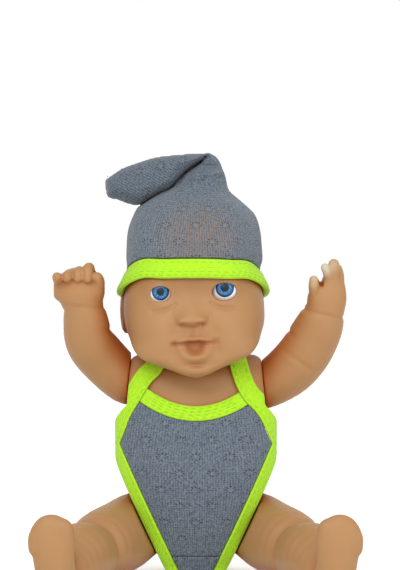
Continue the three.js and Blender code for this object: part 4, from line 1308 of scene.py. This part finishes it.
def makeBodysuit():
    shape = suitShape
    grid = gridOver(torsoLow - [5, 5, 4], torsoHigh + [5, 5, 3], shape["step"])
    x, y, z = grid["at"]
    torso = torsoField(grid)
    x2, z2 = x[:, 0], z[0]
    fromStraps = (lineDistance(np.abs(x2), z2, strapLines[side], True) for side in (-1, 1))
    strap = np.where(x2 < 0, *fromStraps)[:, None, :]
    half = shape["armholeWidth"] / 2
    neckUpper = {back: aboveNeckline(x, z, back) for back in (False, True)}
    fromHip = {side: planeField(grid, hipSeats[side], hipWays[side]) for side in (-1, 1)}
    legCut = np.maximum(fromHip[-1], fromHip[1]) + shape["legWidth"] + 0.3 + shape["seam"]
    rooms = np.inf
    for side in (-1, 1):
        lift, away = aroundShoulder(grid, side)
        rooms = np.minimum(rooms, np.maximum(-0.15 - lift, away - shape["armRoom"]))
    lean = (x - neckSeat[0]) * neckAcross[0] + (z - neckSeat[2]) * neckAcross[2]
    rooms = np.minimum(rooms, np.sqrt(lean**2 + y * y) - shape["neckRoom"])
    for turn in shape["headTurns"]:
        rooms = np.minimum(rooms, headGridIn(grid, shape["jawRoom"], math.radians(turn)))

    def slab(thickness):
        return np.maximum(torso - shape["skinGap"] - thickness, shape["skinGap"] - torso)

    def unrolled(points):
        return np.arctan2(points[:, 0], -points[:, 1]) * shape["unrolled"], points[:, 2]

    knitSlab, bindingSlab = slab(shape["knit"]), slab(shape["binding"])
    inward = strap + half + shape["seam"]
    body = np.maximum(np.maximum(inward, legCut), shape["seatTop"] + shape["seam"] - z)
    underNeck = shape["neckWidth"] + shape["seam"]
    front = np.maximum(neckUpper[False] + underNeck, y - shape["sideSeam"] + shape["seam"] / 2)
    front = cut(knitSlab, np.maximum(body, front), shape["cutRound"])
    clothPiece("suit_front", front, grid, "bodysuit_front", suitCloth, unrolled, "front")
    for side in (-1, 1):
        back = np.maximum(neckUpper[True] + underNeck, shape["sideSeam"] + shape["seam"] / 2 - y)
        back = np.maximum(np.maximum(back, body), shape["seam"] / 2 - side * x)
        back = cut(knitSlab, back, shape["cutRound"])
        name = sideNames[side]
        clothPiece(f"suit_back_{name}", back, grid, f"bodysuit_back_{name}",
                   suitCloth, unrolled, "back")
    seat = np.maximum(slab(shape["seat"]), np.maximum(legCut, z - shape["seatTop"]))
    clothPiece("suit_seat", seat, grid, "bodysuit_seat", suitCloth,
               lambda at: (at[:, 0], at[:, 1] + at[:, 2]), "seat")
    stitched = []

    # Keeps the stretch of a stitch line that met the cloth
    def stitchLine(points, normals, met):
        if met.sum() > 4:
            stitched.append((points[met], normals[met]))

    for back, name, nearer in ((False, "front", y), (True, "back", -y)):
        band = np.maximum(neckUpper[back], -shape["neckWidth"] - neckUpper[back])
        field = cut(bindingSlab, np.maximum(np.maximum(band, inward), nearer), shape["edgeRound"])
        clothPiece(f"neck_binding_{name}_cloth", field, grid, f"neck_binding_{name}",
                   brightCloth,
                   lambda at, back=back: (aboveNeckline(at[:, 0], at[:, 2], back), at[:, 0]),
                   "neckBack" if back else "neckFront")
        face = 1.0 if back else -1.0
        for drop in shape["neckStitches"]:
            spots = np.linspace(-16.5 - 0.4 * drop, 16.5 + 0.4 * drop, 50)
            starts = np.stack([spots, np.full(50, 34 * face), neckline(spots, back) - drop], 1)
            stitchLine(*metSurface(field, grid, starts, np.tile([0, -face, 0], (50, 1))))
    for side in (-1, 1):
        name, line = sideNames[side], strapLines[side]
        band = np.maximum(np.abs(strap) - half, -side * x)
        field = cut(cut(bindingSlab, band, shape["edgeRound"]), -rooms, 0.4)
        clothPiece(f"{name}_armhole_cloth", field, grid, f"{name}_armhole_binding",
                   brightCloth,
                   lambda at, line=line: (lineDistance(np.abs(at[:, 0]), at[:, 2], line, True), at[:, 2]),
                   "armhole")
        way = np.gradient(line, axis=0)
        way /= np.linalg.norm(way, axis=1, keepdims=True)
        for inset in shape["strapStitches"]:
            edge = line + inset * np.stack([way[:, 1], -way[:, 0]], 1)
            for face in (-1.0, 1.0):
                starts = np.stack([side * edge[:, 0], np.full(len(edge), 34 * face), edge[:, 1]], 1)
                ways = np.tile([0, -face, 0], (len(edge), 1))
                points, normals, met = metSurface(field, grid, starts, ways)
                stitchLine(points, normals, met & (points[:, 1] * face > -1))
        ring = np.maximum(fromHip[side] + 0.3, -shape["legWidth"] - 0.3 - fromHip[side])
        field = cut(bindingSlab, ring, shape["edgeRound"])
        clothPiece(f"{name}_leg_cloth", field, grid, f"{name}_leg_binding",
                   brightCloth,
                   lambda at, side=side: ((at - hipSeats[side]) @ hipWays[side], at[:, 2]), "leg")
        turns = np.linspace(0, 2 * math.pi, 90)
        across = np.array([0.0, 1.0, 0.0])
        ways = -(np.cos(turns)[:, None] * across + np.sin(turns)[:, None] * np.cross(hipWays[side], across))
        for inset in shape["legStitches"]:
            middle = hipSeats[side] + hipWays[side] * inset
            points, normals, met = metSurface(field, grid, middle - ways * 36, ways)
            stitchLine(points, normals, met & (np.abs((points - middle) @ hipWays[side]) < 0.6))
    addStitches("suit_stitches", "body", stitched, brightThread)
    tapeGap = shape["skinGap"] + shape["knit"] + 0.3
    top = neckSeat[2] - shape["backDrop"] - shape["neckWidth"] - 0.6
    tape = np.maximum(torso - tapeGap - shape["closureThickness"], tapeGap - torso)
    tape = np.maximum(tape, np.maximum(np.abs(x) - shape["closureWidth"] / 2, -y))
    tape = np.maximum(tape, np.maximum(z - top, top - shape["closureLength"] - z))
    clothPiece("closure_tape_strip", tape, grid, "back_closure_strip",
               tapeCloth, unrolled, "tape")


# Camera, lights and stage

# The photograph shows 2.4 pixels to a millimetre over its 400 pixels
view = {"distance": 900, "width": 400 / 2.4, "x": 1.67, "z": 119.97, "sensor": 36}
# Places and sizes of the stage are in metres. The sky lights the doll less than it shows behind it.
stageLook = {
    "paper": "#f7f7f7",
    "half": 4.0,
    "glow": 0.5,
    "skyOnDoll": 0.62,
    "sky": 1.0,
    "aim": (0, 0, 0.1),
    "key": {"place": (-0.25, -0.9, 0.75), "size": (0.7, 0.5), "power": 5.5},
    "fill": {"place": (0.6, -0.8, 0.35), "size": (0.7, 0.7), "power": 2.2},
}


def makeCamera():
    data = bpy.data.cameras.new("camera")
    data.sensor_fit = "HORIZONTAL"
    data.sensor_width = view["sensor"]
    data.lens = view["sensor"] * view["distance"] / view["width"]
    data.clip_start = 0.05
    data.clip_end = 20
    camera = bpy.data.objects.new("camera", data)
    camera.location = (view["x"] * mm, -view["distance"] * mm, view["z"] * mm)
    camera.rotation_euler = (math.pi / 2, 0, 0)
    scene.collection.objects.link(camera)
    scene.camera = camera


def addLight(name):
    look = stageLook[name]
    data = bpy.data.lights.new(name, "AREA")
    data.shape = "RECTANGLE"
    data.size, data.size_y = look["size"]
    data.energy = look["power"]
    lamp = bpy.data.objects.new(name, data)
    lamp.location = look["place"]
    way = np.array(stageLook["aim"]) - np.array(look["place"])
    lean = math.acos(-way[2] / np.linalg.norm(way))
    lamp.rotation_euler = (lean, 0, math.atan2(way[0], -way[1]) + math.pi)
    scene.collection.objects.link(lamp)


# One for a ray that the camera sees, also through a gloss or a glass
def seenDirectly(tree):
    add = functools.partial(addNode, tree)
    rays = add("LightPath").node.outputs
    mirrored = add("Math", (rays["Is Glossy Ray"], rays["Is Transmission Ray"]), operation="MAXIMUM")
    return add("Math", (rays["Is Camera Ray"], mirrored), operation="MAXIMUM")


# Seamless paper, matt white: it takes the doll's shadow, and glows a little only where it is seen
def makeStage():
    half = stageLook["half"]
    mesh = bpy.data.meshes.new("backdrop")
    corners = [(-half, -half, 0), (half, -half, 0), (half, half, 0), (-half, half, 0)]
    mesh.from_pydata(corners, [], [(0, 1, 2, 3)])
    made, add = newMaterial("Seamless white paper")
    finishMaterial(made, {
        "Base Color": linear(stageLook["paper"]),
        "Roughness": 0.9,
        "Specular IOR Level": 0.1,
    })
    tree = made.node_tree
    paper = tree.nodes["Principled BSDF"].outputs[0]
    plus = add("AddShader", (paper, add("Emission", {"Strength": stageLook["glow"]})))
    pick = add("MixShader", (seenDirectly(tree), paper, plus))
    setInputs(tree, tree.nodes["Material Output"], {"Surface": pick})
    mesh.materials.append(made)
    backdrop = bpy.data.objects.new("backdrop", mesh)
    scene.collection.objects.link(backdrop)


def makeLight():
    world = bpy.data.worlds.new("studio")
    scene.world = world
    world.use_nodes = True
    tree = world.node_tree
    sky = {"Value": seenDirectly(tree), "To Min": stageLook["skyOnDoll"], "To Max": stageLook["sky"]}
    strength = addNode(tree, "MapRange", sky)
    setInputs(tree, tree.nodes["Background"], {"Color": linear("#ffffff"), "Strength": strength})
    addLight("key")
    addLight("fill")


scene.view_settings.view_transform = "Standard"
makeCamera()
makeStage()
makeLight()
skin = vinyl("Rotocast soft vinyl, tan")
# Painted shade on the face: the cap's shadow over the forehead, and shade round the mouth
headSkin = vinyl("Rotocast soft vinyl, tan, browner under the cap", spots=[
    {"at": (0, -30, 125), "size": (34, 20, 10), "share": 0.42, "colour": "#8f5f35"},
    {"at": (0, -34, 96), "size": (9, 12, 5.5), "share": 0.22, "colour": "#a2582a"},
], reach=13)
# Painted light: the finger and thumb tips paler, where light shines through the thin vinyl
openHandSkin = vinyl("Rotocast soft vinyl, tan with pale finger tips", spots=[
    {"at": (52.2, -18.6, 127.4), "size": (3.6, 5, 4), "share": 0.85, "colour": "#cfcab4"},
    {"at": (48, -20.4, 122.5), "size": (3, 5, 4), "share": 0.6, "colour": "#cdbd98"},
    {"at": (57, -16, 129), "size": (5, 5, 3.5), "share": 0.35, "colour": "#cdb991"},
], reach=24, paintedShade="#b4581a")
armSkin = vinyl("Rotocast soft vinyl, tan, for the closed hand's arm", reach=24, paintedShade="#b4581a")
bodySkin = vinyl("Rotocast soft vinyl, tan, body", reach=8, paintedShade="#b9713c")
capCloth = knit("Pointelle cotton jersey, slate grey", {"at": (1, -30, 140), "size": (17, 14, 14)})
suitCloth = knit("Pointelle cotton jersey, bodysuit")
brightCloth = binding("Ribbed fluorescent binding")
brightThread = plainMaterial("Fluorescent polyester thread", "thread")
tapeCloth = plainMaterial("Hook-and-loop tape, grey", "tape")
eyeballGloss = plainMaterial("Gloss acrylic eye white", "eyeball")
print("materials made")
makeTorso()
print("torso made")
makeHead()
print("head made")
for eyeSide in (-1, 1):
    makeEye(eyeSide)
makeLimb("right_arm", shoulderSeats[-1], shoulderWays[-1], -1, limbStations["right_arm"],
         [*fistFingers, fistThumb], (0, 1, 0), armCreases[-1], armSkin, limbShape["armStep"], soft=0.9)
makeLimb("left_arm", shoulderSeats[1], shoulderWays[1], 1, limbStations["left_arm"],
         openFingers, (0, 1, 0), armCreases[1], openHandSkin, limbShape["armStep"], web=thumbWeb)
for legSide in (-1, 1):
    makeLimb(f"{sideNames[legSide]}_leg", hipSeats[legSide], hipWays[legSide], legSide, limbStations["leg"],
             toes, (1, 0, 0), legCreases, skin, limbShape["legStep"])
print("limbs made")
makeCap()
makeBand()
print("cap made")
makeBodysuit()
print("bodysuit made")
